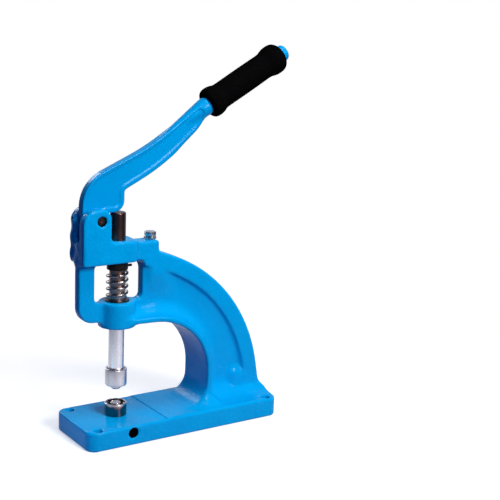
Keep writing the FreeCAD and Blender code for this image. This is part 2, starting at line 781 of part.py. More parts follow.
def bevel_hexagon(body, name, top, rise):
    # Turn the corners off a hexagon's face; rise is 1 for its top and -1 for its underside.
    sketch = new_sketch(body, name, "XZ_Plane")
    out = "(hexAcross/sqrt(3) + overrun)"
    edge = "(%s - %d*(%s - hexAcross/2)*tan(hexBevel))" % (top, rise, out)
    outline(sketch, [("hexAcross/2", top), (out, edge), (out, "%s + %d*overrun" % (top, rise)),
                     ("hexAcross/2", "%s + %d*overrun" % (top, rise))])
    revolve("Groove", body, sketch)


def stop_bolt():
    body = new_body("stop_bolt", stop_x, "0", "stopTop + lockNutHeight + nutGap")
    shank = "stopBoltDia/2"
    turned(body, [("0", "-stopBoltLength"), (shank + " - screwEdge", "-stopBoltLength"),
                  (shank, "-stopBoltLength + screwEdge"), (shank, "0"), ("0", "0")])
    head = new_sketch(body, "head", "XY_Plane")
    hexagon(head, "hexAcross")
    extrude("Pad", body, head, "boltHeadHeight")
    bevel_hexagon(body, "head_bevel", "boltHeadHeight", 1)


def stop_lock_nut():
    body = new_body("stop_lock_nut", stop_x, "0", "stopTop")
    nut = new_sketch(body, "nut", "XY_Plane")
    hexagon(nut, "hexAcross")
    circle(nut, "0", "0", "stopBoltDia + 2*screwClear")
    extrude("Pad", body, nut, "lockNutHeight")
    bevel_hexagon(body, "top_bevel", "lockNutHeight", 1)
    bevel_hexagon(body, "under_bevel", "0", -1)


def check_and_export():
    # Nothing is written unless every object and every piece is sound.
    failed = [item.Name for item in doc.Objects if "Invalid" in item.State or "Error" in item.State]
    if failed:
        raise RuntimeError("failed objects: " + ", ".join(failed))
    for piece in pieces:
        if piece.Shape.isNull() or not piece.Shape.isValid() or len(piece.Shape.Solids) != 1:
            raise RuntimeError("unsound piece: " + piece.Label)
    os.makedirs("parts", exist_ok=True)
    for piece in pieces:
        piece.Shape.exportStep("parts/%s.step" % piece.Label)
        print("%-22s %10.1f mm3" % (piece.Label, piece.Shape.Volume))


frame_casting()
lever()
handle_grip()
pivot_pin()
ram()
spring_collar()
collar_cross_pin()
spring_seat_washer()
return_spring()
upper_die()
upper_die_nose()
lower_die()
grub_screws()
stop_bolt()
stop_lock_nut()
doc.recompute()
check_and_export()
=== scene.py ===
import json
import math
import bmesh
import bpy
import numpy as np
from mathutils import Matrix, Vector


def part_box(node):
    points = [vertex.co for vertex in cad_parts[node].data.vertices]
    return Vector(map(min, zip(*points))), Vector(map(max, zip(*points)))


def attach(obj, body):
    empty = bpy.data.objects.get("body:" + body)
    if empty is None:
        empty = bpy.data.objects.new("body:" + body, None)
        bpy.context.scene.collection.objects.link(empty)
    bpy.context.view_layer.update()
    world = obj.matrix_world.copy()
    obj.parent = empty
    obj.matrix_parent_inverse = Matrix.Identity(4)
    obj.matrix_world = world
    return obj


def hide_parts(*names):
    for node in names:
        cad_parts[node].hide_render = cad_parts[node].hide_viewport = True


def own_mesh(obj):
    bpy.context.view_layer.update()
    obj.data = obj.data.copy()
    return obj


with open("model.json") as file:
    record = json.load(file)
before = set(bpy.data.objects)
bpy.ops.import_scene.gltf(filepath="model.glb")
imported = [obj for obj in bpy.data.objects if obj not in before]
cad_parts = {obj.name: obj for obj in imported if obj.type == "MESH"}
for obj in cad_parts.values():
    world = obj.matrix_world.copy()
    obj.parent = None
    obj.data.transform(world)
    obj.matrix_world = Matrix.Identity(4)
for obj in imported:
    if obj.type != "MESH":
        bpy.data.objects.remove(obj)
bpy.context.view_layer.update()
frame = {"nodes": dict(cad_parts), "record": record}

import openvdb
from mathutils import Matrix, Vector

nodes = frame["nodes"]
scene = bpy.context.scene


def middle(node):
    low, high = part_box(node)
    return (low + high) / 2


ramAxis = middle("ram")
pivot = middle("pivot_pin")
stopAxis = middle("stop_bolt")
shankAxis = middle("lower_die")
slots = {row["node"]: row["material_slot"] for row in frame["record"]["subparts"]}


def pick(settings, names):
    return [settings[name] for name in names.split()]


def newObject(name, data):
    made = bpy.data.objects.new(name, data)
    scene.collection.objects.link(made)
    return made


def meshObject(name, vertices, faces):
    mesh = bpy.data.meshes.new(name)
    mesh.from_pydata([tuple(v) for v in vertices], [], [tuple(f) for f in faces])
    mesh.validate()
    return newObject(name, mesh)


def smoothShade(made, angle):
    mesh = made.data
    mesh.shade_smooth()
    mesh.set_sharp_from_angle(angle=math.radians(angle))


def applyModifiers(made):
    # The finished mesh takes the place of the one with modifiers.
    graph = bpy.context.evaluated_depsgraph_get()
    finished = bpy.data.meshes.new_from_object(made.evaluated_get(graph), depsgraph=graph)
    made.modifiers.clear()
    made.data = finished


def recalcNormals(mesh):
    work = bmesh.new()
    work.from_mesh(mesh)
    bmesh.ops.recalc_face_normals(work, faces=work.faces)
    if work.calc_volume(signed=True) < 0:
        bmesh.ops.reverse_faces(work, faces=work.faces)
    work.to_mesh(mesh)
    work.free()


def placed(made, place, angle=0, axis="Z"):
    # Turns a mesh about an axis and moves it to its place.
    made.data.transform(Matrix.Translation(place) @ Matrix.Rotation(angle, 4, axis))


def revolved(name, profile, turns=64, closed=False):
    # Profile points are (radius, height) in metres; rings of zero radius become one point.
    vertices, faces, rings = [], [], []
    onAxis = 1e-7
    for radius, height in profile:
        if radius < onAxis:
            rings.append([len(vertices)])
            vertices.append((0, 0, height))
            continue
        start = len(vertices)
        rings.append(list(range(start, start + turns)))
        for k in range(turns):
            angle = 2 * math.pi * k / turns
            vertices.append((radius * math.cos(angle), radius * math.sin(angle), height))
    pairs = list(zip(rings, rings[1:]))
    if closed:
        pairs.append((rings[-1], rings[0]))
    for lower, upper in pairs:
        for k in range(turns):
            nextK = (k + 1) % turns
            if len(lower) == 1:
                faces.append((lower[0], upper[nextK], upper[k]))
            elif len(upper) == 1:
                faces.append((lower[k], lower[nextK], upper[0]))
            else:
                faces.append((lower[k], lower[nextK], upper[nextK], upper[k]))
    made = meshObject(name, vertices, faces)
    recalcNormals(made.data)
    return made


def meshArrays(source):
    mesh = source.data
    mesh.calc_loop_triangles()
    points = np.empty(len(mesh.vertices) * 3, np.float32)
    mesh.vertices.foreach_get("co", points)
    triangles = np.empty(len(mesh.loop_triangles) * 3, np.int32)
    mesh.loop_triangles.foreach_get("vertices", triangles)
    return points.reshape(-1, 3), triangles.reshape(-1, 3)


def levelSet(points, faces, voxel, reach, spare=2):
    # Signed distance to a closed surface, in metres, out to a reach and a few spare voxels.
    kind = {3: "triangles", 4: "quads"}[faces.shape[1]]
    return openvdb.FloatGrid.createLevelSetFromPolygons(
        points, **{kind: faces}, transform=openvdb.createLinearTransform(voxelSize=voxel),
        halfWidth=reach / voxel + spare)


def surfaceOf(grid, offset=0.0):
    # The surface at a distance from the solid.
    points, triangles, quads = grid.convertToPolygons(isovalue=offset, adaptivity=0)
    return points, np.asarray(quads, np.int32), np.asarray(triangles, np.int32)


def gridArray(grid, low, size, background):
    field = np.full(size, background, np.float32)
    grid.copyToArray(field, ijk=low)
    return field


def closedField(points, faces, voxel, fillet, low, size, reach):
    # Grow the solid and shrink it back, which fills its hollow corners to a radius.
    skin, quads, _ = surfaceOf(levelSet(points, faces, voxel, fillet), fillet)
    limit = fillet + reach
    back = levelSet(skin, quads[:, ::-1].copy(), voxel, limit)
    return gridArray(back, low, size, limit) + fillet


def blurred(field, spread, cutOff=2.5):
    # Gaussian blur along each axis; spread is in voxels and the cut-off in spreads.
    half = int(math.ceil(cutOff * spread))
    weights = np.exp(-0.5 * (np.arange(-half, half + 1) / spread) ** 2)
    weights /= weights.sum()
    for axis in range(3):
        padded = np.pad(field, [(half, half) if k == axis else (0, 0) for k in range(3)], mode="edge")
        total = np.zeros_like(field)
        for k, weight in enumerate(weights):
            total += weight * np.take(padded, range(k, k + field.shape[axis]), axis=axis)
        field = total
    return field


def fieldMesh(name, field, low, voxel):
    # The surface where a distance field is zero.
    grid = openvdb.FloatGrid(float(field.max()))
    grid.copyFromArray(np.ascontiguousarray(field), ijk=low)
    grid.transform = openvdb.createLinearTransform(voxelSize=voxel)
    points, quads, triangles = surfaceOf(grid)
    made = meshObject(name, points, [*quads, *triangles])
    recalcNormals(made.data)
    return made


def cylinderAlong(name, start, end, radius, turns=64):
    # A cutter or bar between two points.
    axis = Vector(end) - Vector(start)
    made = revolved(name, [(0, 0), (radius, 0), (radius, axis.length), (0, axis.length)], turns)
    turn = axis.to_track_quat("Z", "Y").to_matrix().to_4x4()
    made.data.transform(Matrix.Translation(Vector(start)) @ turn)
    return made


def boxSolid(name, low, high):
    pairs = list(zip(low, high))
    corners = [(x, y, z) for x in pairs[0] for y in pairs[1] for z in pairs[2]]
    faces = [(0, 1, 3, 2), (4, 6, 7, 5), (0, 4, 5, 1), (2, 3, 7, 6), (0, 2, 6, 4), (1, 5, 7, 3)]
    made = meshObject(name, corners, faces)
    recalcNormals(made.data)
    return made


def cutAll(target, cutters, operation="DIFFERENCE"):
    for cutter in cutters:
        boolean = target.modifiers.new("cut", "BOOLEAN")
        boolean.operation, boolean.solver, boolean.object = operation, "MANIFOLD", cutter
        applyModifiers(target)
        bpy.data.objects.remove(cutter)


def thinned(made, faces):
    # Fewer triangles where the surface is flat.
    count = sum(len(f.vertices) - 2 for f in made.data.polygons)
    if count <= faces:
        return
    decimate = made.modifiers.new("thin", "DECIMATE")
    decimate.ratio = faces / count
    applyModifiers(made)


def rounded(corners, steps=5):
    # Corners of a closed outline as (radius, height) or (radius, height, round); a round becomes an arc.
    line = []
    for k, corner in enumerate(corners):
        here = Vector(corner[:2])
        if len(corner) < 3:
            line.append(tuple(here))
            continue
        before = (Vector(corners[k - 1][:2]) - here).normalized()
        after = (Vector(corners[(k + 1) % len(corners)][:2]) - here).normalized()
        half = before.angle(after) / 2
        reach = corner[2] / math.tan(half)
        centre = here + (before + after).normalized() * (corner[2] / math.sin(half))
        first, last = here + before * reach - centre, here + after * reach - centre
        start = math.atan2(first.y, first.x)
        sweep = (math.atan2(last.y, last.x) - start + math.pi) % (2 * math.pi) - math.pi
        for step in range(steps + 1):
            angle = start + sweep * step / steps
            line.append((centre.x + corner[2] * math.cos(angle), centre.y + corner[2] * math.sin(angle)))
    return line


turnedSharp = 35  # degrees between faces where a lathe-turned piece keeps a sharp edge


def turnedPiece(name, corners, node, turns=96):
    # A lathe-turned piece; heights are above its CAD node's lowest point.
    low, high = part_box(node)
    centre = (low + high) / 2
    made = revolved(name, rounded(corners), turns, closed=corners[0][0] > 0)
    placed(made, (centre.x, centre.y, low.z))
    smoothShade(made, turnedSharp)
    return made


def joined(name, parts):
    # Several closed shells as one mesh.
    work = bmesh.new()
    for part in parts:
        work.from_mesh(part.data)
        bpy.data.objects.remove(part)
    mesh = bpy.data.meshes.new(name)
    work.to_mesh(mesh)
    work.free()
    return newObject(name, mesh)


def nodeTree(name, inputs):
    # A Geometry Nodes tree with named inputs; returns it with its input and output nodes.
    tree = bpy.data.node_groups.new(name, "GeometryNodeTree")
    tree.interface.new_socket("Geometry", in_out="OUTPUT", socket_type="NodeSocketGeometry")
    for label, kind in inputs:
        tree.interface.new_socket(label, in_out="INPUT", socket_type="NodeSocket" + kind)
    return tree, tree.nodes.new("NodeGroupInput"), tree.nodes.new("NodeGroupOutput")


def feed(tree, node, inputs):
    # Joins a node's inputs to sockets or sets them to values, by name or by place.
    for key, value in inputs.items():
        if isinstance(value, bpy.types.NodeSocket):
            tree.links.new(value, node.inputs[key])
        else:
            node.inputs[key].default_value = value


def linked(tree, kind, inputs, **options):
    # A new node with its options set and its inputs fed.
    made = tree.nodes.new(kind)
    for key, value in options.items():
        setattr(made, key, value)
    feed(tree, made, inputs)
    return made


def maths(tree, operation, *values):
    return linked(tree, "ShaderNodeMath", dict(enumerate(values)), operation=operation).outputs[0]


def treeResult(tree, geometry, material, output):
    # Real geometry with its material, as the tree's output.
    whole = linked(tree, "GeometryNodeRealizeInstances", {"Geometry": geometry})
    feed(tree, output, {0: linked(tree, "GeometryNodeSetMaterial", {
        "Geometry": whole.outputs[0], "Material": material}).outputs[0]})


def grown(name, tree, values):
    # The tree's result as a plain mesh.
    made = meshObject(name, [], [])
    modifier = made.modifiers.new("nodes", "NODES")
    modifier.node_group = tree
    places = {item.name: item.identifier for item in tree.interface.items_tree if item.in_out == "INPUT"}
    for label, value in values.items():
        modifier[places[label]] = value
    applyModifiers(made)
    return made


def castField(source, settings, spare=10):
    # The node's mesh as a distance field with rounded inner corners, and spare voxels round it.
    voxel, fillet, reach = pick(settings, "voxel fillet reach")
    points, triangles = meshArrays(source)
    low = [int(math.floor(v / voxel)) - spare for v in points.min(0)]
    high = [int(math.ceil(v / voxel)) + spare for v in points.max(0)]
    size = [b - a for a, b in zip(low, high)]
    return points, triangles, low, size, closedField(points, triangles, voxel, fillet, low, size, reach)


def gridCoordinates(low, size, voxel):
    # x, y and z of the voxels, each along its own axis.
    return [((np.arange(n) + start) * voxel).reshape([-1 if k == axis else 1 for k in range(3)])
            for axis, (start, n) in enumerate(zip(low, size))]


def faded(share):
    # From 0 to 1 without a kink, and flat beyond.
    share = np.clip(share, 0, 1)
    return share * share * (3 - 2 * share)


castingSettings = {
    "voxel": 0.00125,
    "fillet": 0.004,
    "reach": 0.004,
    "sweep": 0.018,  # radius of the hollow curves at the throat
    "sweepEnd": (0.080, 0.180),
    "sweepRound": 0.09,
    "sweepFade": 0.014,
    "sweepStart": (-0.044, -0.026),
    "drips": 0.0011,
    "dripsFrom": (-0.121, -0.008, 0.205),
    "dripsFade": (0.006, 0.012, 0.02),
    # Waves per metre along x, y and z, and where each starts.
    "dripWaves": [(410, 0, 0, 1.3), (0, 330, 90, 0), (0, -120, 290, 0.6)],
    "flush": (-0.046, 0.006),  # the length beside the window
    "flushEnds": (0.012, 0.03),
    "flushAbove": 0.15,
    "flushDepth": 0.042,
    "flushFoot": (0.076, 0.066),
    "flushFade": 0.016,
    "webHalf": 0.0065,
    "rimHalf": 0.012,
    "soften": 1.0,
    "faces": 180000,
    "sharp": 38,
    "outside": (0.2, 0.06, 0.055),  # cutters end out here
    "milledEnd": -0.0297,
    "milledTop": 0.0242,
    "plateTop": 0.025,
    "holeBevel": 0.0012,
    "beyond": 0.004,
    "below": -0.01,
    "ramBore": (0.00956, 0.13, 0.26),  # radius, bottom and top
    "shankBore": (0.00604, 0.0067, 0.03),
    "stopBore": (0.00403, 0.1997, 0.25),
    "sideBore": {"mouth": 0.0063, "thread": 0.00403, "step": 0.036, "length": 0.06, "height": 0.0153},
    "pivotBore": (0.00604, 0.03),  # radius and half length
    "pivotScrew": (0.00253, -0.14, 0.01295),  # radius, front end and place across
}


def flushWeb(field, low, x, y, z, settings):
    # Beside the window the web slopes up to the rim instead of stepping out to it.
    voxel, (startX, stopX), depth, thin, thick = pick(settings, "voxel flush flushDepth webHalf rimHalf")
    beside = field[:, int(round((thin + thick) / 2 / voxel)) - low[1], :] < 0
    heights = z.ravel()
    rimLow = np.ones(x.size)
    for column, at in enumerate(x.ravel()):
        inside = np.nonzero(beside[column] & (heights > settings["flushAbove"]))[0]
        if startX < at < stopX and len(inside):
            gaps = np.nonzero(np.diff(inside) > 1)[0]
            rimLow[column] = heights[inside[gaps[-1] + 1] if len(gaps) else inside[0]]
    below = faded(1 - (rimLow[:, None, None] - z) / depth)
    startFade, stopFade = settings["flushEnds"]
    along = faded((x - startX) / startFade) * faded((stopX - x) / stopFade)
    # So does the web's foot at the back of the arch.
    (footX, footZ), fade = pick(settings, "flushFoot flushFade")
    atFoot = faded((x - footX) / fade) * faded((footZ - z) / fade)
    half = thin + (thick - thin) * np.maximum(below * along, atFoot)
    web = field[:, -low[1], :][:, None, :]
    return np.minimum(field, np.maximum(np.abs(y) - half, web))


def baseCutters(settings):
    # The milled top, the flat underside and the bevelled foot holes.
    wideX, wideY, high = settings["outside"]
    milledTop, below, bevel, beyond = pick(settings, "milledTop below holeBevel beyond")
    cutters = [boxSolid("milled", (-wideX, -wideY, milledTop), (settings["milledEnd"], wideY, high)),
               boxSolid("under", (-wideX, -wideY, below), (wideX, wideY, 0))]
    # The record gives the foot holes in millimetres.
    foot = [m for m in frame["record"]["mounts"] if m["name"] == "foot_holes"][0]["dims"]
    halfX, halfY, holeR = foot["spacing_x_mm"] / 2000, foot["spacing_y_mm"] / 2000, foot["hole_r_mm"] / 1000
    for sideX, top in ((-1, milledTop), (1, settings["plateTop"])):
        bevelled = [(0, below), (holeR, below), (holeR, top - bevel),
                    (holeR + bevel + beyond, top + beyond), (0, top + beyond)]
        for sideY in (-1, 1):
            cutters.append(revolved("hole", bevelled))
            placed(cutters[-1], (sideX * halfX, sideY * halfY, 0))
    return cutters


def boreCutters(settings):
    (ramR, *ramEnds), (shankR, *shankEnds), (stopR, *stopEnds) = pick(settings, "ramBore shankBore stopBore")
    (pivotR, pivotY), (screwR, screwX, screwY) = pick(settings, "pivotBore pivotScrew")
    # The side hole steps down to the set screw's thread.
    mouth, thread, step, length, height = pick(settings["sideBore"], "mouth thread step length height")
    sideBore = revolved("sideBore", [
        (0, 0), (mouth, 0), (mouth, step), (thread, step), (thread, length), (0, length)])
    placed(sideBore, (shankAxis.x, -length, height), -math.pi / 2, "X")
    return [
        cylinderAlong("ramBore", *((ramAxis.x, 0, z) for z in ramEnds), ramR),
        cylinderAlong("shankBore", *((shankAxis.x, 0, z) for z in shankEnds), shankR),
        sideBore,
        cylinderAlong("pivotBore", *((pivot.x, y, pivot.z) for y in (-pivotY, pivotY)), pivotR),
        cylinderAlong("pivotScrew", *((x, screwY, pivot.z) for x in (screwX, pivot.x)), screwR),
        cylinderAlong("stopBore", *((stopAxis.x, 0, z) for z in stopEnds), stopR),
    ]


def frameCasting(settings):
    voxel, reach, sweep = pick(settings, "voxel reach sweep")
    points, triangles, low, size, field = castField(nodes["frame_casting"], settings)
    # Broad hollow curves along the throat's flange, fading out away from it.
    swept = closedField(points, triangles, voxel, sweep, low, size, reach)
    x, y, z = gridCoordinates(low, size, voxel)
    (endX, endZ), bend, (startX, stopX) = pick(settings, "sweepEnd sweepRound sweepStart")
    overX = np.maximum(x - (endX - bend), 0)
    overZ = np.maximum(z - (endZ - bend), 0)
    nearThroat = faded((bend - np.sqrt(overX ** 2 + overZ ** 2)) / settings["sweepFade"])
    share = nearThroat * faded((x - startX) / (stopX - startX))
    field, swept = np.clip(field, -reach, reach), np.clip(swept, -reach, reach)
    field = field + (swept - field) * share
    field = flushWeb(field, low, x, y, z, settings)
    # Thick drips of enamel on the front of the head.
    (dripX, dripY, dripZ), (fadeX, fadeY, fadeZ) = pick(settings, "dripsFrom dripsFade")
    front = faded((dripX - x) / fadeX) * faded((z - dripZ) / fadeZ) * faded((y - dripY) / fadeY)
    waves = sum(np.sin(x * a + y * b + z * c + start) for a, b, c, start in settings["dripWaves"])
    field = blurred(field - settings["drips"] * front * waves / 2, settings["soften"])
    made = fieldMesh("press_casting", field, low, voxel)
    thinned(made, settings["faces"])
    cutAll(made, baseCutters(settings) + boreCutters(settings))
    smoothShade(made, settings["sharp"])
    return made


casting = frameCasting(castingSettings)
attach(casting, "frame")
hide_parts("frame_casting")
print("casting", len(casting.data.polygons))


leverSettings = {
    "voxel": 0.0007,
    "fillet": 0.003,
    "reach": 0.0025,
    "rim": (0.0062, 0.0038),  # under and over the pocket
    "band": 0.003,
    "stretch": 12,
    "recess": 0.0011,
    "hub": 0.0125,
    "rodStart": (0.1499, 0.129),
    "rodSlope": 30,
    "pocketEnd": -0.012,
    "pocketRound": 0.008,
    "neck": (0.0121, 0.135, -0.058),  # radius at the rod, taper and start
    "neckFade": (-0.072, -0.050),
    "neckOver": 0.0004,
    "neckEnd": 0.0015,
    "neckSoften": 3.4,
    "soften": 1.1,
    "faces": 110000,
    "sharp": 40,
    "bore": (0.00606, 0.03),
}


def plateOutline(points, triangles, low, size, band, settings):
    # Distance to the plate's outline, seen flat: the solid is stretched across so that its thickness
    # doesn't count, on voxels twice as coarse, and the values between them are worked out.
    voxel = settings["voxel"]
    tall = points * np.array([1, settings["stretch"], 1], np.float32)
    flat = levelSet(tall, triangles, voxel * 2, band)
    lowFlat, sizeFlat = [n // 2 - 1 for n in low], [n // 2 + 3 for n in size]
    lowFlat[1], sizeFlat[1] = 0, 1
    plane = gridArray(flat, lowFlat, sizeFlat, band)[:, 0, :]
    x, _, z = gridCoordinates(low, size, voxel)
    atX, atZ = x.ravel() / (voxel * 2) - lowFlat[0], z.ravel() / (voxel * 2) - lowFlat[2]
    cellX, cellZ = np.floor(atX).astype(int), np.floor(atZ).astype(int)
    shareX, shareZ = (atX - cellX)[:, None], (atZ - cellZ)[None, :]
    plane = plane[cellX] * (1 - shareX) + plane[cellX + 1] * shareX
    return plane[:, cellZ] * (1 - shareZ) + plane[:, cellZ + 1] * shareZ


def leverCasting(settings):
    voxel, reach, (lowerRim, upperRim), (startX, startZ) = pick(settings, "voxel reach rim rodStart")
    points, triangles, low, size, field = castField(nodes["lever"], settings)
    x, y, z = gridCoordinates(low, size, voxel)
    plane = plateOutline(points, triangles, low, size, lowerRim + settings["band"], settings)
    slope = math.radians(settings["rodSlope"])
    along = (x - pivot.x - startX) * math.cos(slope) + (z - pivot.z - startZ) * math.sin(slope)
    across = (z - pivot.z - startZ) * math.cos(slope) - (x - pivot.x - startX) * math.sin(slope)
    # The neck swells out of the plate into the rod in a broad curve.
    (neckRadius, neckTaper, neckStart), (fadeStart, fadeEnd) = pick(settings, "neck neckFade")
    swell = np.sqrt(across ** 2 + y ** 2) - (neckRadius + along * neckTaper)
    swell = np.maximum(np.maximum(swell, along + settings["neckOver"]), neckStart - along)
    necked = blurred(np.minimum(field, np.clip(swell, -reach, reach)), settings["neckSoften"])
    share = faded((along - fadeStart) / (fadeEnd - fadeStart)) * faded(-along / settings["neckEnd"])
    field = field + (necked - field) * share
    # The pocket's end is round.
    flatEnd, bend = along - settings["pocketEnd"], settings["pocketRound"]
    overX, overZ = np.gradient(plane, voxel)
    upper = faded(0.5 + overZ * math.cos(slope) - overX * math.sin(slope))
    inside = (plane + lowerRim + (upperRim - lowerRim) * upper)[:, None, :]
    blend = np.clip(0.5 + (inside - flatEnd) / (2 * bend), 0, 1)
    inside = flatEnd + (inside - flatEnd) * blend + bend * blend * (1 - blend)
    fromHub = settings["hub"] - np.sqrt((x - pivot.x) ** 2 + (z - pivot.z) ** 2)
    field = np.maximum(field, np.minimum(field + settings["recess"], -np.maximum(inside, fromHub)))
    field = blurred(np.clip(field, -reach, reach), settings["soften"])
    made = fieldMesh("press_lever", field, low, voxel)
    thinned(made, settings["faces"])
    radius, half = settings["bore"]
    cutAll(made, [cylinderAlong("bore", (pivot.x, -half, pivot.z), (pivot.x, half, pivot.z), radius)])
    smoothShade(made, settings["sharp"])
    return made


lever = leverCasting(leverSettings)
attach(lever, "hand_lever")
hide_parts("lever")
print("lever", len(lever.data.polygons))


gripSettings = {
    "bore": 0.0106,
    "mouth": 0.0006,
    "length": 0.1192,
    "steps": 6,
    "sides": 128,
    "sharp": 60,
    # Distance along the rod and radius.
    "profile": [(0.0, 0.0133), (0.0006, 0.0158), (0.0024, 0.0178), (0.0056, 0.0188), (0.0105, 0.0188),
                (0.0152, 0.0178), (0.0186, 0.0166), (0.024, 0.0161), (0.04, 0.0162), (0.062, 0.0163),
                (0.078, 0.0162), (0.090, 0.0161), (0.0955, 0.0165), (0.0995, 0.0177), (0.1045, 0.0188),
                (0.1115, 0.0188), (0.1152, 0.0177), (0.1180, 0.0156), (0.1195, 0.0134)],
}


def smoothLine(points, steps):
    # A curve through the points, with rounded turns.
    line = []
    last = len(points) - 1
    for i in range(last):
        p0, p1, p2, p3 = (Vector((*points[max(0, min(last, k))], 0)) for k in (i - 1, i, i + 1, i + 2))
        for k in range(steps):
            t = k / steps
            line.append(0.5 * (2 * p1 + (p2 - p0) * t + (2 * p0 - 5 * p1 + 4 * p2 - p3) * t ** 2
                               + (3 * p1 - p0 - 3 * p2 + p3) * t ** 3))
    line.append(Vector((*points[-1], 0)))
    return [(p.x, p.y) for p in line]


def foamGrip(settings, rod):
    # A sleeve on the lever's rod, open at both ends.
    bore, mouth, length, points, steps = pick(settings, "bore mouth length profile steps")
    profile = [(radius, along) for along, radius in smoothLine(points, steps)]
    profile += [(bore + mouth, length - mouth), (bore, length - 2 * mouth), (bore, 2 * mouth),
                (bore + mouth, mouth)]
    made = revolved("foam_grip", profile, settings["sides"], closed=True)
    startX, startZ = rod["rodStart"]
    placed(made, (pivot.x + startX, 0, pivot.z + startZ), math.pi / 2 - math.radians(rod["rodSlope"]), "Y")
    smoothShade(made, settings["sharp"])
    return made


grip = foamGrip(gripSettings, leverSettings)
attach(grip, "hand_lever")
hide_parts("handle_grip")
print("grip", len(grip.data.polygons))


springSettings = {
    "coilRadius": 0.012,
    "wireRadius": 0.0015,
    "turns": 4.3,
    "points": 300,
    "sides": 20,
    "keep": 0.585,  # share of the length that is left at full stroke
    "sharp": 50,
}


def coiledWire():
    tree, given, result = nodeTree("coiled_wire", [
        ("Coil Radius", "Float"), ("Wire Radius", "Float"), ("Bottom", "Float"), ("Top", "Float"),
        ("Turns", "Float"), ("Points", "Int"), ("Sides", "Int"), ("Material", "Material")])
    size = given.outputs
    line = linked(tree, "GeometryNodeCurvePrimitiveLine", {"End": (0, 0, 1)})
    even = linked(tree, "GeometryNodeResampleCurve", {"Curve": line.outputs[0], "Count": size["Points"]})
    along = tree.nodes.new("GeometryNodeSplineParameter").outputs["Factor"]
    angle = maths(tree, "MULTIPLY", maths(tree, "MULTIPLY", along, size["Turns"]), 2 * math.pi)
    rise = maths(tree, "SUBTRACT", maths(tree, "SUBTRACT", size["Top"], size["Bottom"]),
                maths(tree, "MULTIPLY", size["Wire Radius"], 2))
    start = maths(tree, "ADD", size["Bottom"], size["Wire Radius"])
    place = linked(tree, "ShaderNodeCombineXYZ", {
        "X": maths(tree, "MULTIPLY", maths(tree, "COSINE", angle), size["Coil Radius"]),
        "Y": maths(tree, "MULTIPLY", maths(tree, "SINE", angle), size["Coil Radius"]),
        "Z": maths(tree, "MULTIPLY_ADD", along, rise, start)})
    coil = linked(tree, "GeometryNodeSetPosition",
                  {"Geometry": even.outputs[0], "Position": place.outputs[0]})
    ring = linked(tree, "GeometryNodeCurvePrimitiveCircle",
                  {"Resolution": size["Sides"], "Radius": size["Wire Radius"]})
    wire = linked(tree, "GeometryNodeCurveToMesh",
                  {"Curve": coil.outputs[0], "Profile Curve": ring.outputs[0], "Fill Caps": True})
    treeResult(tree, wire.outputs[0], size["Material"], result)
    return tree


def returnSpring(settings):
    low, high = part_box("return_spring")
    made = grown("coil_spring", coiledWire(), {
        "Coil Radius": settings["coilRadius"], "Wire Radius": settings["wireRadius"],
        "Bottom": low.z, "Top": high.z, "Turns": settings["turns"],
        "Points": settings["points"], "Sides": settings["sides"]})
    placed(made, (ramAxis.x, 0, 0))
    recalcNormals(made.data)
    smoothShade(made, settings["sharp"])
    return made


spring = returnSpring(springSettings)
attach(spring, "frame")
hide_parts("return_spring")
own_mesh(spring)
print("spring", len(spring.data.polygons))


ramSettings = {
    "radius": 0.0095,
    "foot": 0.0012,
    "shoulder": (0.00064, 0.00192),  # drop and round
    "crown": (0.00176, 0.00096),  # inset and round
    "dimple": (0.0018, 0.0011, 0.0002),  # radius, depth and round
    "sides": 128,
}


def pressRam(settings):
    low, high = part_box("ram")
    tall = high.z - low.z
    radius, foot, (drop, bend), (inset, edge) = pick(settings, "radius foot shoulder crown")
    wide, deep, mouth = settings["dimple"]
    return turnedPiece("press_ram", [
        (0, 0), (radius, 0, foot), (radius, tall - drop, bend),
        (radius - inset, tall, edge), (wide, tall, mouth), (0, tall - deep)], "ram", settings["sides"])


ram = pressRam(ramSettings)
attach(ram, "ram_assembly")
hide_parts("ram")


# A tap is a radius, a height and both ends; rounds follow each profile from its lower end.
dieSettings = {
    "upper": {"radius": 0.01325, "bore": 0.00954, "mouth": 0.0011, "lead": (0.003, 0.0035),
              "length": 0.021, "floor": 0.006, "stem": 0.00303, "recess": (0.0105, 0.0016),
              "tap": (0.00303, 0.015, 0.0005, 0.02), "rounds": (0.0003, 0.0002, 0.0018, 0.0006, 0.0003)},
    "nose": {"radius": 0.006, "stem": 0.003, "seat": 0.0066, "length": 0.0106, "taper": (0.0012, 0.0014),
             "slot": (0.0018, 0.0016), "beyond": (0.01, 0.002), "rounds": (0.0003, 0.0009, 0.0003)},
    "lower": {"radius": 0.0135, "height": 0.0154, "shank": (0.006, 0.016), "rim": 0.0022, "groove": 0.0032,
              "boss": (0.00625, 0.0004), "dimple": (0.0008, 0.0006),
              "rounds": (0.0008, 0.0009, 0.0005, 0.0003, 0.0013, 0.0013, 0.0004, 0.0002)},
    "sides": {"die": 128, "nose": 96, "tap": 48},
}


def upperDie(settings, sides):
    radius, bore, length, floor, stem, rounds = pick(settings, "radius bore length floor stem rounds")
    (wide, deep), (straight, lead), mouth = pick(settings, "recess lead mouth")
    made = turnedPiece("upper_die_body", [
        (stem, deep), (wide, deep, rounds[0]), (wide, 0, rounds[1]), (radius, 0, rounds[2]),
        (radius, length, rounds[3]), (bore + mouth, length, rounds[4]), (bore + mouth, length - straight),
        (bore, length - lead), (bore, floor), (stem, floor)], "upper_die", sides["die"])
    size, rise, start, end = settings["tap"]
    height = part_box("upper_die")[0].z + rise
    cutAll(made, [cylinderAlong("tap", *((ramAxis.x, y, height) for y in (start, end)), size, sides["tap"])])
    smoothShade(made, turnedSharp)
    return made


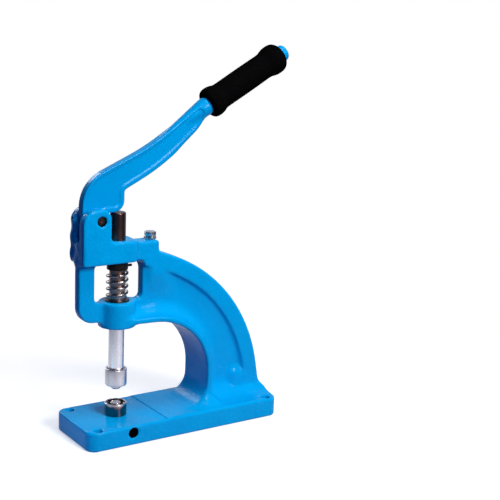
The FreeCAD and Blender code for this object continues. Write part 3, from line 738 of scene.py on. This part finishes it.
def dieNose(settings, sides):
    radius, stem, seat, length, (inset, rise), rounds = pick(settings, "radius stem seat length taper rounds")
    made = turnedPiece("die_pilot", [
        (0, 0), (radius - inset, 0, rounds[0]), (radius, rise, rounds[1]), (radius, seat, rounds[2]),
        (stem, seat), (stem, length), (0, length)], "upper_die_nose", sides["nose"])
    (wide, deep), (beside, under) = pick(settings, "slot beyond")
    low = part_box("upper_die_nose")[0]
    cutAll(made, [boxSolid("slot", (ramAxis.x - beside, -wide / 2, low.z - under),
                           (ramAxis.x + beside, wide / 2, low.z + deep))])
    smoothShade(made, turnedSharp)
    return made


def lowerDie(settings, sides):
    radius, (shank, deep), (boss, drop), rounds = pick(settings, "radius shank boss rounds")
    top = deep + settings["height"]
    rim, groove, seat = radius - settings["rim"], top - settings["groove"], top - drop
    dimple, depth = settings["dimple"]
    return turnedPiece("lower_die_body", [
        (0, 0), (shank, 0, rounds[0]), (shank, deep), (radius, deep, rounds[1]), (radius, top, rounds[2]),
        (rim, top, rounds[3]), (rim, groove, rounds[4]), (boss, groove, rounds[5]), (boss, seat, rounds[6]),
        (dimple, seat, rounds[7]), (0, seat - depth)], "lower_die", sides["die"])


upper = upperDie(dieSettings["upper"], dieSettings["sides"])
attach(upper, "ram_assembly")
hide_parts("upper_die")
nose = dieNose(dieSettings["nose"], dieSettings["sides"])
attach(nose, "ram_assembly")
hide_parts("upper_die_nose")
lower = lowerDie(dieSettings["lower"], dieSettings["sides"])
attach(lower, "frame")
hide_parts("lower_die")
print("ram and dies")


collarSettings = {
    "radius": 0.01275,
    "bore": 0.00954,
    "length": 0.010,
    "rounds": (0.0002, 0.0006, 0.0003),
    "sides": 128,
    "pin": (0.0016, 0.0006, 48),  # radius, round and sides
    "washer": (0.015, 0.0102, 0.0015),  # outer and inner radius, thickness
    "washerRounds": (0.0003, 0.0005, 0.0003),
}


def springCollar(settings):
    radius, bore, length, (under, outer, upper) = pick(settings, "radius bore length rounds")
    return turnedPiece("collar_ring", [
        (bore, 0, under), (radius, 0, outer), (radius, length, outer), (bore, length, upper)],
        "spring_collar", settings["sides"])


def crossPin(settings):
    low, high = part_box("collar_cross_pin")
    (radius, edge, sides), length = settings["pin"], high.x - low.x
    profile = [(0, 0), (radius, 0, edge), (radius, length, edge), (0, length)]
    made = revolved("cross_pin", rounded(profile), sides)
    placed(made, (low.x, 0, (low.z + high.z) / 2), math.pi / 2, "Y")
    smoothShade(made, turnedSharp)
    return made


def seatWasher(settings):
    outside, inside, thick = settings["washer"]
    under, outer, inner = settings["washerRounds"]
    return turnedPiece("seat_washer", [
        (inside, 0), (outside, 0, under), (outside, thick, outer), (inside, thick, inner)],
        "spring_seat_washer")


collar = springCollar(collarSettings)
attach(collar, "ram_assembly")
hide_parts("spring_collar")
pin = crossPin(collarSettings)
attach(pin, "ram_assembly")
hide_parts("collar_cross_pin")
washer = seatWasher(collarSettings)
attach(washer, "frame")
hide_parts("spring_seat_washer")
print("collar, pin and washer")


boltSettings = {
    "across": 0.013,
    "head": 0.0053,
    "nut": 0.004,
    "radius": 0.004,
    "depth": 0.0006,
    "pitch": 0.00125,
    "ringsPerTurn": 8,
    "sides": 48,
    "turn": 11,
    "nutTurn": 26,
    "nutBore": (0.00403, -0.001, 0.01),
    "flat": 0.96,  # share of the width that stays flat on top
    "slope": 30,  # of the turned corners, in degrees
    "clear": 0.00001,
    "beyond": 0.001,
    "barrelSides": 96,
    "edge": 0.00018,
    "edgeSteps": 2,
    "edgeAngle": 28,
    "sharp": 30,
}


def hexagonSolid(name, height, bevelUnder, settings):
    # A hexagon bar with its corners turned off at the top, and underneath too for a nut.
    across, clear, beyond = pick(settings, "across clear beyond")
    corner = across / math.sqrt(3)
    ring = [(corner * math.cos(math.pi * k / 3), corner * math.sin(math.pi * k / 3)) for k in range(6)]
    vertices = [(x, y, z) for z in (0, height) for x, y in ring]
    faces = [tuple(range(6)), tuple(range(6, 12))]
    faces += [(k, (k + 1) % 6, (k + 1) % 6 + 6, k + 6) for k in range(6)]
    made = meshObject(name, vertices, faces)
    recalcNormals(made.data)
    flat, wide = across / 2 * settings["flat"], corner + clear
    drop = (corner - flat) * math.tan(math.radians(settings["slope"]))
    under = [(0, 0), (flat, 0), (wide, drop)] if bevelUnder else [(0, -beyond), (wide, -beyond)]
    barrel = under + [(wide, height - drop), (flat, height), (0, height)]
    cutAll(made, [revolved("barrel", barrel, settings["barrelSides"])], "INTERSECT")
    bevel = made.modifiers.new("edges", "BEVEL")
    bevel.width, bevel.segments, bevel.limit_method = settings["edge"], settings["edgeSteps"], "ANGLE"
    bevel.angle_limit = math.radians(settings["edgeAngle"])
    applyModifiers(made)
    return made


def threadedBar():
    tree, given, result = nodeTree("threaded_bar", [
        ("Radius", "Float"), ("Depth", "Float"), ("Pitch", "Float"), ("Length", "Float"),
        ("Rings", "Int"), ("Sides", "Int"), ("Material", "Material")])
    size = given.outputs
    bar = linked(tree, "GeometryNodeMeshCylinder",
                 {"Vertices": size["Sides"], "Side Segments": size["Rings"], "Radius": size["Radius"],
                  "Depth": size["Length"]})
    place = tree.nodes.new("GeometryNodeInputPosition").outputs[0]
    at = linked(tree, "ShaderNodeSeparateXYZ", {0: place}).outputs
    turn = maths(tree, "DIVIDE", maths(tree, "ARCTAN2", at["Y"], at["X"]), 2 * math.pi)
    phase = maths(tree, "FRACT", maths(tree, "SUBTRACT", maths(tree, "DIVIDE", at["Z"], size["Pitch"]), turn))
    ridge = maths(tree, "ABSOLUTE", maths(tree, "MULTIPLY_ADD", phase, 2, -1))
    inward = maths(tree, "MULTIPLY", maths(tree, "DIVIDE", size["Depth"], size["Radius"]), ridge)
    flat = linked(tree, "ShaderNodeCombineXYZ", {"X": at["X"], "Y": at["Y"]}).outputs[0]
    offset = linked(tree, "ShaderNodeVectorMath", {0: flat, "Scale": maths(tree, "MULTIPLY", inward, -1)},
                    operation="SCALE").outputs[0]
    cut = linked(tree, "GeometryNodeSetPosition", {"Geometry": bar.outputs["Mesh"], "Offset": offset})
    treeResult(tree, cut.outputs[0], size["Material"], result)
    return tree


def stopBolt(settings):
    low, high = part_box("stop_bolt")
    length = high.z - low.z - settings["head"]
    thread = grown("thread", threadedBar(), {
        "Radius": settings["radius"], "Depth": settings["depth"], "Pitch": settings["pitch"],
        "Length": length, "Rings": int(length / settings["pitch"] * settings["ringsPerTurn"]),
        "Sides": settings["sides"]})
    placed(thread, (0, 0, -length / 2))
    head = hexagonSolid("head", settings["head"], False, settings)
    made = joined("hex_bolt", [thread, head])
    placed(made, (stopAxis.x, 0, high.z - settings["head"]), math.radians(settings["turn"]))
    smoothShade(made, settings["sharp"])
    return made


def lockNut(settings):
    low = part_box("stop_lock_nut")[0]
    made = hexagonSolid("lock_nut", settings["nut"], True, settings)
    radius, *ends = settings["nutBore"]
    cutAll(made, [cylinderAlong("tap", *((0, 0, z) for z in ends), radius, settings["sides"])])
    placed(made, (stopAxis.x, 0, low.z), math.radians(settings["nutTurn"]))
    smoothShade(made, settings["sharp"])
    return made


bolt = stopBolt(boltSettings)
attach(bolt, "stop_screw")
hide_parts("stop_bolt")
nut = lockNut(boltSettings)
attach(nut, "frame")
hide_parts("stop_lock_nut")
print("bolt and nut")


pivotSettings = {
    "radius": 0.006,
    "edge": (0.001, 0.0004),
    "dimple": (0.0014, 0.0009, 0.0003),
    "sides": 96,
}


def pivotPin(settings):
    low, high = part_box("pivot_pin")
    radius, (edge, edgeRound), (wide, deep, mouthRound) = pick(settings, "radius edge dimple")
    length = high.y - low.y
    profile = [(0, deep), (wide, 0, mouthRound), (radius - edge, 0, edgeRound), (radius, edge, edgeRound),
               (radius, length - edge, edgeRound), (radius - edge, length, edgeRound),
               (wide, length, mouthRound), (0, length - deep)]
    made = revolved("hinge_pin", rounded(profile), settings["sides"])
    placed(made, (pivot.x, low.y, pivot.z), -math.pi / 2, "X")
    smoothShade(made, turnedSharp)
    return made


hinge = pivotPin(pivotSettings)
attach(hinge, "frame")
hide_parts("pivot_pin")
print("pivot pin")


noiseSpan = (0.3, 0.7)  # nearly all values of a noise lie between these
white = (1, 1, 1)


def nodeMaterial(name):
    # A material with its tree, its shader and the coordinates that its patterns lie on.
    material = bpy.data.materials.new(name)
    material.use_nodes = True
    tree = material.node_tree
    place = tree.nodes.new("ShaderNodeTexCoord").outputs["Object"]
    return material, tree, tree.nodes["Principled BSDF"], place


def noise(tree, place, scale, detail=3.0, roughness=0.5):
    return linked(tree, "ShaderNodeTexNoise", {
        "Vector": place, "Scale": scale, "Detail": detail, "Roughness": roughness}).outputs["Fac"]


def ramp(tree, value, stops):
    made = linked(tree, "ShaderNodeValToRGB", {"Fac": value})
    elements = made.color_ramp.elements
    while len(elements) < len(stops):
        elements.new(0.5)
    for element, (place, colour) in zip(elements, stops):
        element.position = place
        element.color = (*colour, 1)
    return made.outputs["Color"]


def twoTone(tree, value, first, second, span=noiseSpan):
    return ramp(tree, value, [(span[0], first), (span[1], second)])


def mapRange(tree, value, span, result):
    return linked(tree, "ShaderNodeMapRange", {
        "Value": value, "From Min": span[0], "From Max": span[1],
        "To Min": result[0], "To Max": result[1]}).outputs["Result"]


def bump(tree, height, distance, strength, under=None):
    inputs = {"Height": height, "Distance": distance, "Strength": strength}
    if under:
        inputs["Normal"] = under
    return linked(tree, "ShaderNodeBump", inputs).outputs["Normal"]


def mixed(tree, share, first, second, blend="MIX"):
    return linked(tree, "ShaderNodeMix", {"Factor": share, "A": first, "B": second},
                  data_type="RGBA", blend_type=blend).outputs["Result"]


def heightOf(tree, place):
    return linked(tree, "ShaderNodeSeparateXYZ", {0: place}).outputs["Z"]


def roundAxis(tree, place, centre, axes):
    # Distance from a line through the centre, measured along two axes, and the place seen from there.
    moved = linked(tree, "ShaderNodeMapping", {"Vector": place, "Location": tuple(-v for v in centre)})
    at = linked(tree, "ShaderNodeSeparateXYZ", {0: moved.outputs["Vector"]}).outputs
    flat = linked(tree, "ShaderNodeCombineXYZ", {axis: at[axis] for axis in axes}).outputs[0]
    return linked(tree, "ShaderNodeVectorMath", {0: flat}, operation="LENGTH").outputs["Value"], at


# A pattern is its noise's scale, detail and roughness; a relief is its noise's scale and detail, and
# the bump's depth and strength.
enamelSettings = {
    "deep": (0.0, 0.315, 0.685),
    "pale": (0.0, 0.345, 0.735),
    "thin": (0.05, 0.44, 0.80),
    "broad": (22, 2),
    "chips": (420, 3, 0.6),
    "chipSpan": (0.66, 0.72),
    "chipShare": 0.7,
    "sheen": (4, 0.6),
    "roughness": (0.09, 0.22),
    "ripple": (90, 3, 0.0012, 0.45),
    "pits": (230, 4, 0.0009, 0.6),
    "grit": (900, 2, 0.00005, 0.5),
    "reliefNoise": 0.55,
    "specular": 0.07,
}
# The lever's plate is cast smoother than the frame, and its colours are darker than the frame's: painted
# shade on the same enamel.
leverPaintSmootherShaded = {
    "deep": (0.0, 0.285, 0.635),
    "pale": (0.0, 0.305, 0.68),
    "thin": (0.0, 0.34, 0.72),
    "chipSpan": (0.72, 0.78),
    "roughness": (0.14, 0.20),
    "ripple": (60, 3, 0.0006, 0.35),
    "pits": (160, 4, 0.00003, 0.3),
    "grit": (500, 2, 0.000004, 0.3),
}


def enamel(name, settings):
    # Thick glossy paint over a sand casting: ripples, shallow pits and paler specks where it is thin.
    material, tree, shader, place = nodeMaterial(name)
    colour = twoTone(tree, noise(tree, place, *settings["broad"]), settings["deep"], settings["pale"])
    chips = noise(tree, place, *settings["chips"])
    specks = mapRange(tree, chips, settings["chipSpan"], (0, settings["chipShare"]))
    sheen = noise(tree, place, settings["pits"][0], *settings["sheen"])
    normal = None
    for key in ("ripple", "pits", "grit"):
        scale, detail, deep, strength = settings[key]
        relief = noise(tree, place, scale, detail, settings["reliefNoise"])
        normal = bump(tree, relief, deep, strength, normal)
    feed(tree, shader, {
        "Base Color": mixed(tree, specks, colour, (*settings["thin"], 1)),
        "Roughness": mapRange(tree, sheen, noiseSpan, settings["roughness"]),
        "Normal": normal, "Specular IOR Level": settings["specular"]})
    return material


metalSettings = {
    "grain": (4, 0.6),
    "relief": (0.00003, 0.6),
    # Dark and light tint, roughness and the grain's scale.
    "spring_steel": ((0.16, 0.13, 0.12), (0.50, 0.45, 0.44), (0.16, 0.34), 500),
    "dark_steel": ((0.015, 0.012, 0.012), (0.07, 0.055, 0.05), (0.25, 0.45), 500),
    "bolt_zinc": ((0.34, 0.34, 0.35), (0.86, 0.86, 0.87), (0.22, 0.40), 330),
    # Near-black: bare drilled metal, darkened further with painted shade in the holes.
    "bare_bore_painted_shade": ((0.004, 0.0035, 0.004), (0.02, 0.014, 0.014), (0.45, 0.7), 600),
}


def metal(name, settings):
    # Bare or plated metal with a fine grain.
    material, tree, shader, place = nodeMaterial(name)
    dark, light, roughness, scale = settings[name]
    grain = noise(tree, place, scale, *settings["grain"])
    feed(tree, shader, {
        "Base Color": twoTone(tree, grain, dark, light),
        "Roughness": mapRange(tree, grain, noiseSpan, roughness),
        "Normal": bump(tree, grain, *settings["relief"]), "Metallic": 1.0})
    return material


nickelSettings = {
    "grain": (3, 0.6),
    "speck": (3, 0.7),
    "speckSpan": (0.3, 0.65),
    "smears": (110, 3, 0.5),
    "smearSpan": (0.3, 0.6),
    "dull": (0.8, 0.78, 0.78),
    "shares": (0.6, 0.4),
    "strengths": (0.6, 0.5),
    "waver": 0.002,
    "speckleDepth": 0.00002,
}
satinLook = {
    "dark": (0.76, 0.71, 0.73), "light": (0.92, 0.87, 0.90), "roughness": (0.26, 0.42),
    "rings": 1600, "speckle": 2200, "ringDepth": 0.00004,
}
# The polished nickel is tinted darker than the satin nickel as painted shade, and more painted shade darkens
# it below the given heights.
polishedShadedLook = {
    "dark": (0.46, 0.41, 0.42), "light": (0.78, 0.72, 0.73), "roughness": (0.07, 0.16),
    "rings": 1400, "speckle": 2600, "ringDepth": 0.00005,
    "paintedShadeBelow": ((0.0375, 0.0400), (0.38, 0.25, 0.25)),  # heights, and the painted shade on the die's sides under them
}


def turnedMetal(name, centre, settings):
    # Nickel plate over lathe rings, with a fine speckle and a few dull smears, and painted shade below a
    # height where the settings ask for it.
    material, tree, shader, place = nodeMaterial(name)
    reach, at = roundAxis(tree, place, centre, "XY")
    turned = linked(tree, "ShaderNodeCombineXYZ", {"X": reach, "Z": at["Z"]}).outputs[0]
    rings = noise(tree, turned, settings["rings"], *settings["grain"])
    speckle = noise(tree, place, settings["speckle"], *settings["speck"])
    smears = noise(tree, place, *settings["smears"])
    tint = twoTone(tree, speckle, settings["dark"], settings["light"], settings["speckSpan"])
    dull = twoTone(tree, smears, settings["dull"], white, settings["smearSpan"])
    colour = mixed(tree, 1.0, tint, dull, "MULTIPLY")
    # Painted shade: darker below the given heights, with a wavy edge.
    if "paintedShadeBelow" in settings:
        span, shade = settings["paintedShadeBelow"]
        wavy = maths(tree, "MULTIPLY_ADD", smears, settings["waver"], heightOf(tree, place))
        level = mapRange(tree, wavy, span, (0, 1))
        colour = mixed(tree, 1.0, colour, twoTone(tree, level, shade, white, (0, 1)), "MULTIPLY")
    (ringShare, smearShare), (ringStrength, speckStrength) = pick(settings, "shares strengths")
    worn = maths(tree, "ADD", maths(tree, "MULTIPLY", rings, ringShare),
                 maths(tree, "MULTIPLY", smears, smearShare))
    grooves = bump(tree, rings, settings["ringDepth"], ringStrength)
    feed(tree, shader, {
        "Base Color": colour, "Metallic": 1.0,
        "Roughness": mapRange(tree, worn, noiseSpan, settings["roughness"]),
        "Normal": bump(tree, speckle, settings["speckleDepth"], speckStrength, grooves)})
    return material


pinShadeSettings = {
    "ragged": (500, 4, 0.6),
    "waver": 0.003,
    "span": (0.002, 0.0065),
    # From the centre out: red-brown rust, then near-black painted shade.
    "tints": [(0.0, (0.06, 0.009, 0.007)), (0.4, (0.016, 0.004, 0.004)), (0.7, (0.003, 0.002, 0.003))],
    "sheen": 300,
    "roughness": (0.3, 0.55),
    "lumps": (900, 0.00006, 0.6),
    "metallic": 0.3,
}


def shadedPinEnd(name, centre, settings):
    # Rust at the centre of the pin's end, with near-black painted shade round it out to the rim and along the
    # pin.
    material, tree, shader, place = nodeMaterial(name)
    reach = roundAxis(tree, place, centre, "XZ")[0]
    ragged = maths(tree, "MULTIPLY_ADD", noise(tree, place, *settings["ragged"]), settings["waver"], reach)
    lumps, deep, strength = settings["lumps"]
    feed(tree, shader, {
        "Base Color": ramp(tree, mapRange(tree, ragged, settings["span"], (0, 1)), settings["tints"]),
        "Roughness": mapRange(tree, noise(tree, place, settings["sheen"]), noiseSpan, settings["roughness"]),
        "Normal": bump(tree, noise(tree, place, lumps), deep, strength),
        "Metallic": settings["metallic"]})
    return material


foamSettings = {
    "cells": 900,
    "tints": [(0.0, (0.0005, 0.0005, 0.0005)), (0.8, (0.003, 0.003, 0.0032))],
    "wear": 60,
    "roughness": (0.75, 0.92),
    "soft": (70, 0.0012, 0.3),
    "cellRelief": (0.00035, 0.7),
    "specular": 0.0,
}


def foam(name, settings):
    material, tree, shader, place = nodeMaterial(name)
    cells = linked(tree, "ShaderNodeTexVoronoi", {"Vector": place, "Scale": settings["cells"]})
    spots = cells.outputs["Distance"]
    scale, deep, strength = settings["soft"]
    soft = bump(tree, noise(tree, place, scale), deep, strength)
    feed(tree, shader, {
        "Base Color": ramp(tree, spots, settings["tints"]),
        "Roughness": mapRange(tree, noise(tree, place, settings["wear"]), noiseSpan, settings["roughness"]),
        "Normal": bump(tree, spots, *settings["cellRelief"], soft),
        "Specular IOR Level": settings["specular"]})
    return material


ramLook = {
    "streaks": (700, 3, 0.6),
    "stretch": (1, 1, 0.04),
    "streakTint": (0.84, 0.84, 0.84),
    "streakShare": 0.6,
    "stains": (60, 3, 0.5),
    "waver": 0.012,
    "span": (0.15, 0.29),
    "tints": [(0.0, (0.93, 0.91, 0.94)), (0.16, (0.62, 0.57, 0.58)), (0.4, (0.45, 0.30, 0.25)),
              (0.62, (0.30, 0.19, 0.15)), (0.72, (0.16, 0.09, 0.08)), (1.0, (0.10, 0.065, 0.06))],
    "roughness": (0.24, 0.36),
    "relief": (0.000008, 0.4),
}


def ramMetal(name, settings):
    # Bright ground steel below, brown between the coils and black with oil at the top.
    material, tree, shader, place = nodeMaterial(name)
    along = linked(tree, "ShaderNodeMapping", {"Vector": place, "Scale": settings["stretch"]})
    streaks = noise(tree, along.outputs["Vector"], *settings["streaks"])
    stains = noise(tree, place, *settings["stains"])
    wavy = maths(tree, "MULTIPLY_ADD", stains, settings["waver"], heightOf(tree, place))
    tint = ramp(tree, mapRange(tree, wavy, settings["span"], (0, 1)), settings["tints"])
    worn = twoTone(tree, streaks, settings["streakTint"], white)
    feed(tree, shader, {
        "Base Color": mixed(tree, settings["streakShare"], tint, worn, "MULTIPLY"),
        "Roughness": mapRange(tree, stains, noiseSpan, settings["roughness"]),
        "Normal": bump(tree, streaks, *settings["relief"]), "Metallic": 1.0})
    return material


blueEnamel = enamel("blue_enamel", enamelSettings)
# The lever's enamel is the frame's enamel made darker with painted shade.
leverShadedEnamel = enamel("lever_enamel_painted_shade", {**enamelSettings, **leverPaintSmootherShaded})
gripFoam = foam("grip_foam", foamSettings)
ramSteel = ramMetal("ram_steel", ramLook)
springSteel, darkSteel, boltZinc, bareShadedBore = (
    metal(name, metalSettings) for name in ("spring_steel", "dark_steel", "bolt_zinc", "bare_bore_painted_shade"))
satinNickel = turnedMetal("die_chrome", ramAxis, {**nickelSettings, **satinLook})
polishedShadedNickel = turnedMetal("polished_die_painted_shade", ramAxis, {**nickelSettings, **polishedShadedLook})
rustyShadedPin = shadedPinEnd("rusty_pin_painted_shade", pivot, pinShadeSettings)
finishes = {"blue_enamel": blueEnamel, "grip_foam": gripFoam, "ram_steel": ramSteel,
            "spring_steel": springSteel, "dark_steel": darkSteel, "die_chrome": satinNickel,
            "bolt_zinc": boltZinc}


def dress(item, material):
    item.data.materials.clear()
    item.data.materials.append(material)


for name, item in nodes.items():
    dress(item, finishes[slots[name]])
for item, material in (
        (casting, blueEnamel), (lever, leverShadedEnamel), (grip, gripFoam), (spring, springSteel), (ram, ramSteel),
        (upper, satinNickel), (nose, polishedShadedNickel), (lower, polishedShadedNickel), (collar, darkSteel),
        (pin, darkSteel), (washer, darkSteel), (bolt, boltZinc), (nut, boltZinc), (hinge, rustyShadedPin)):
    dress(item, material)


bareShadedHoles = {
    "side": (0.0064, -0.0478),  # radius and front end
    "pivot": (0.0061, 0.019),  # radius and half length
}


def nearLine(made, start, end, radius):
    # Numbers of the faces within a radius of the line between two points.
    mesh = made.data
    centres = np.empty(len(mesh.polygons) * 3, np.float32)
    mesh.polygons.foreach_get("center", centres)
    start, axis = np.array(start), np.array(end) - np.array(start)
    away = centres.reshape(-1, 3) - start
    along = away @ axis / (axis @ axis)
    distance = np.linalg.norm(away - along[:, None] * axis, axis=1)
    return np.nonzero((along > 0) & (along < 1) & (distance < radius))[0]


def bareShadedFaces(made, material, holes):
    # The side hole and the pivot's bore aren't painted with enamel; their near-black colour is painted shade
    # in the holes.
    (sideR, front), (pivotR, half) = pick(holes, "side pivot")
    height = castingSettings["sideBore"]["height"]
    made.data.materials.append(material)
    side = nearLine(made, (shankAxis.x, front, height), (shankAxis.x, 0, height), sideR)
    hinge = nearLine(made, (pivot.x, -half, pivot.z), (pivot.x, half, pivot.z), pivotR)
    for number in [*side, *hinge]:
        made.data.polygons[number].material_index = 1


bareShadedFaces(casting, bareShadedBore, bareShadedHoles)
print("materials")


stageSettings = {
    "azimuth": -34.65,
    "elevation": 12.81,
    "roll": 2.27,
    "distance": 1.4586,
    "aim": (0.11421, 0.0, 0.21176),
    "lens": 81.81,
    "sensor": 36,
    "clip": (0.01, 100),
    "floorRadius": 0.75,
    "floorSides": 96,
    "floorFade": (0.38, 0.9),  # shares of the radius
    "floorTint": 0.72,
    "floorGrain": (14, 0.01),
    "floorLift": 0.52,
    "floorMirrored": 0.55,
    "floorRoughness": 0.6,
    "bounce": (0.05, 0.09, 0.20),
    "shade": ((0.005, 0.015, 0.10), (0.12, 0.16, 0.24)),
    "mirrored": ((0.04, 0.055, 0.10), (0.50, 0.56, 0.66)),
    "backdrop": (0.57, 0.80, 0.0),  # the way to its middle
    "backdropSpan": (0.25, 0.75),
}


def studioCamera(settings):
    azimuth, elevation, roll = (math.radians(v) for v in pick(settings, "azimuth elevation roll"))
    level = math.cos(elevation)
    back = Vector((math.sin(azimuth) * level, -math.cos(azimuth) * level, math.sin(elevation)))
    right = Vector((math.cos(azimuth), math.sin(azimuth), 0))
    up = back.cross(right)
    across = math.cos(roll) * right + math.sin(roll) * up
    top = math.cos(roll) * up - math.sin(roll) * right
    camera = newObject("camera", bpy.data.cameras.new("camera"))
    turn = Matrix((across, top, back)).transposed().to_4x4()
    camera.matrix_world = Matrix.Translation(Vector(settings["aim"]) + back * settings["distance"]) @ turn
    camera.data.lens, camera.data.sensor_width = settings["lens"], settings["sensor"]
    camera.data.clip_start, camera.data.clip_end = settings["clip"]
    scene.camera = camera


lampSettings = {
    "key": {"place": (0.30, -1.5, 1.05), "target": (0, 0, 0.2), "size": 0.6, "power": 26},
    "glint": {"place": (0.42, -1.5, 0.95), "target": (0, 0, 0.2), "size": 0.05, "power": 1.8},
    "spark": {"place": (-0.30, -0.9, 1.25), "target": (0, 0, 0.25), "size": 0.05, "power": 0.7},
    "top": {"place": (0.15, -0.35, 1.5), "target": (0, 0, 0.1), "size": 0.6, "power": 9},
    "back": {"place": (-0.2, 1.6, 1.0), "target": (0, 0, 0.2), "size": 0.6, "power": 9},
    "left": {"place": (-0.27, -0.03, 0.025), "target": (-0.12, 0, 0.015), "size": 0.06, "power": 0.07,
             "colour": (0.05, 0.75, 1.0), "mirrored": False},
}


def softLight(name, place, target, size, power, colour=white, mirrored=True):
    data = bpy.data.lights.new(name, "AREA")
    data.size, data.energy, data.color = size, power, colour
    made = newObject(name, data)
    made.location = place
    made.rotation_mode = "QUATERNION"
    made.rotation_quaternion = (Vector(place) - Vector(target)).to_track_quat("Z", "Y")
    made.visible_camera, made.visible_glossy = False, mirrored


def floorDisc(settings):
    # Nearly white to the camera, dark and bluish to the light that it throws back on the machine.
    radius, tint, (scale, grain) = pick(settings, "floorRadius floorTint floorGrain")
    floor = revolved("floor", [(0, 0), (radius / 2, 0), (radius, 0)], settings["floorSides"])
    material, tree, shader, place = nodeMaterial("pale_floor")
    path = tree.nodes.new("ShaderNodeLightPath").outputs
    mirrored = maths(tree, "MULTIPLY", path["Is Glossy Ray"], settings["floorMirrored"])
    seen = maths(tree, "MAXIMUM", path["Is Camera Ray"], mirrored)
    pale = twoTone(tree, noise(tree, place, scale), (tint - grain,) * 3, (tint + grain,) * 3)
    fromMiddle = linked(tree, "ShaderNodeVectorMath", {0: place}, operation="LENGTH").outputs["Value"]
    feed(tree, shader, {
        "Base Color": mixed(tree, seen, (*settings["bounce"], 1), pale),
        "Roughness": settings["floorRoughness"],
        "Emission Color": (*white, 1),
        "Emission Strength": maths(tree, "MULTIPLY", seen, settings["floorLift"]),
        "Alpha": mapRange(tree, fromMiddle, [radius * share for share in settings["floorFade"]], (1, 0))})
    dress(floor, material)


def studioWorld(settings):
    # White to the camera; mirrored and thrown light come from a pale backdrop and a dim room in front.
    world = bpy.data.worlds.new("studio")
    world.use_nodes = True
    scene.world = world
    tree = world.node_tree
    tree.nodes.clear()
    path = tree.nodes.new("ShaderNodeLightPath").outputs
    direction = tree.nodes.new("ShaderNodeTexCoord").outputs["Generated"]
    facing = linked(tree, "ShaderNodeVectorMath", {0: direction, 1: settings["backdrop"]},
                    operation="DOT_PRODUCT").outputs["Value"]
    share = mapRange(tree, facing, settings["backdropSpan"], (0, 1))
    thrown, mirrored = (twoTone(tree, share, *settings[k], (0, 1)) for k in ("shade", "mirrored"))
    bounced = maths(tree, "MAXIMUM", path["Is Glossy Ray"], path["Is Transmission Ray"])
    colour = mixed(tree, path["Is Camera Ray"], mixed(tree, bounced, thrown, mirrored), (*white, 1))
    light = linked(tree, "ShaderNodeBackground", {"Color": colour, "Strength": 1.0})
    linked(tree, "ShaderNodeOutputWorld", {"Surface": light.outputs["Background"]})


scene.view_settings.view_transform = "Standard"
studioWorld(stageSettings)
floorDisc(stageSettings)
for name, lamp in lampSettings.items():
    softLight(name, **lamp)
studioCamera(stageSettings)
print("stage")
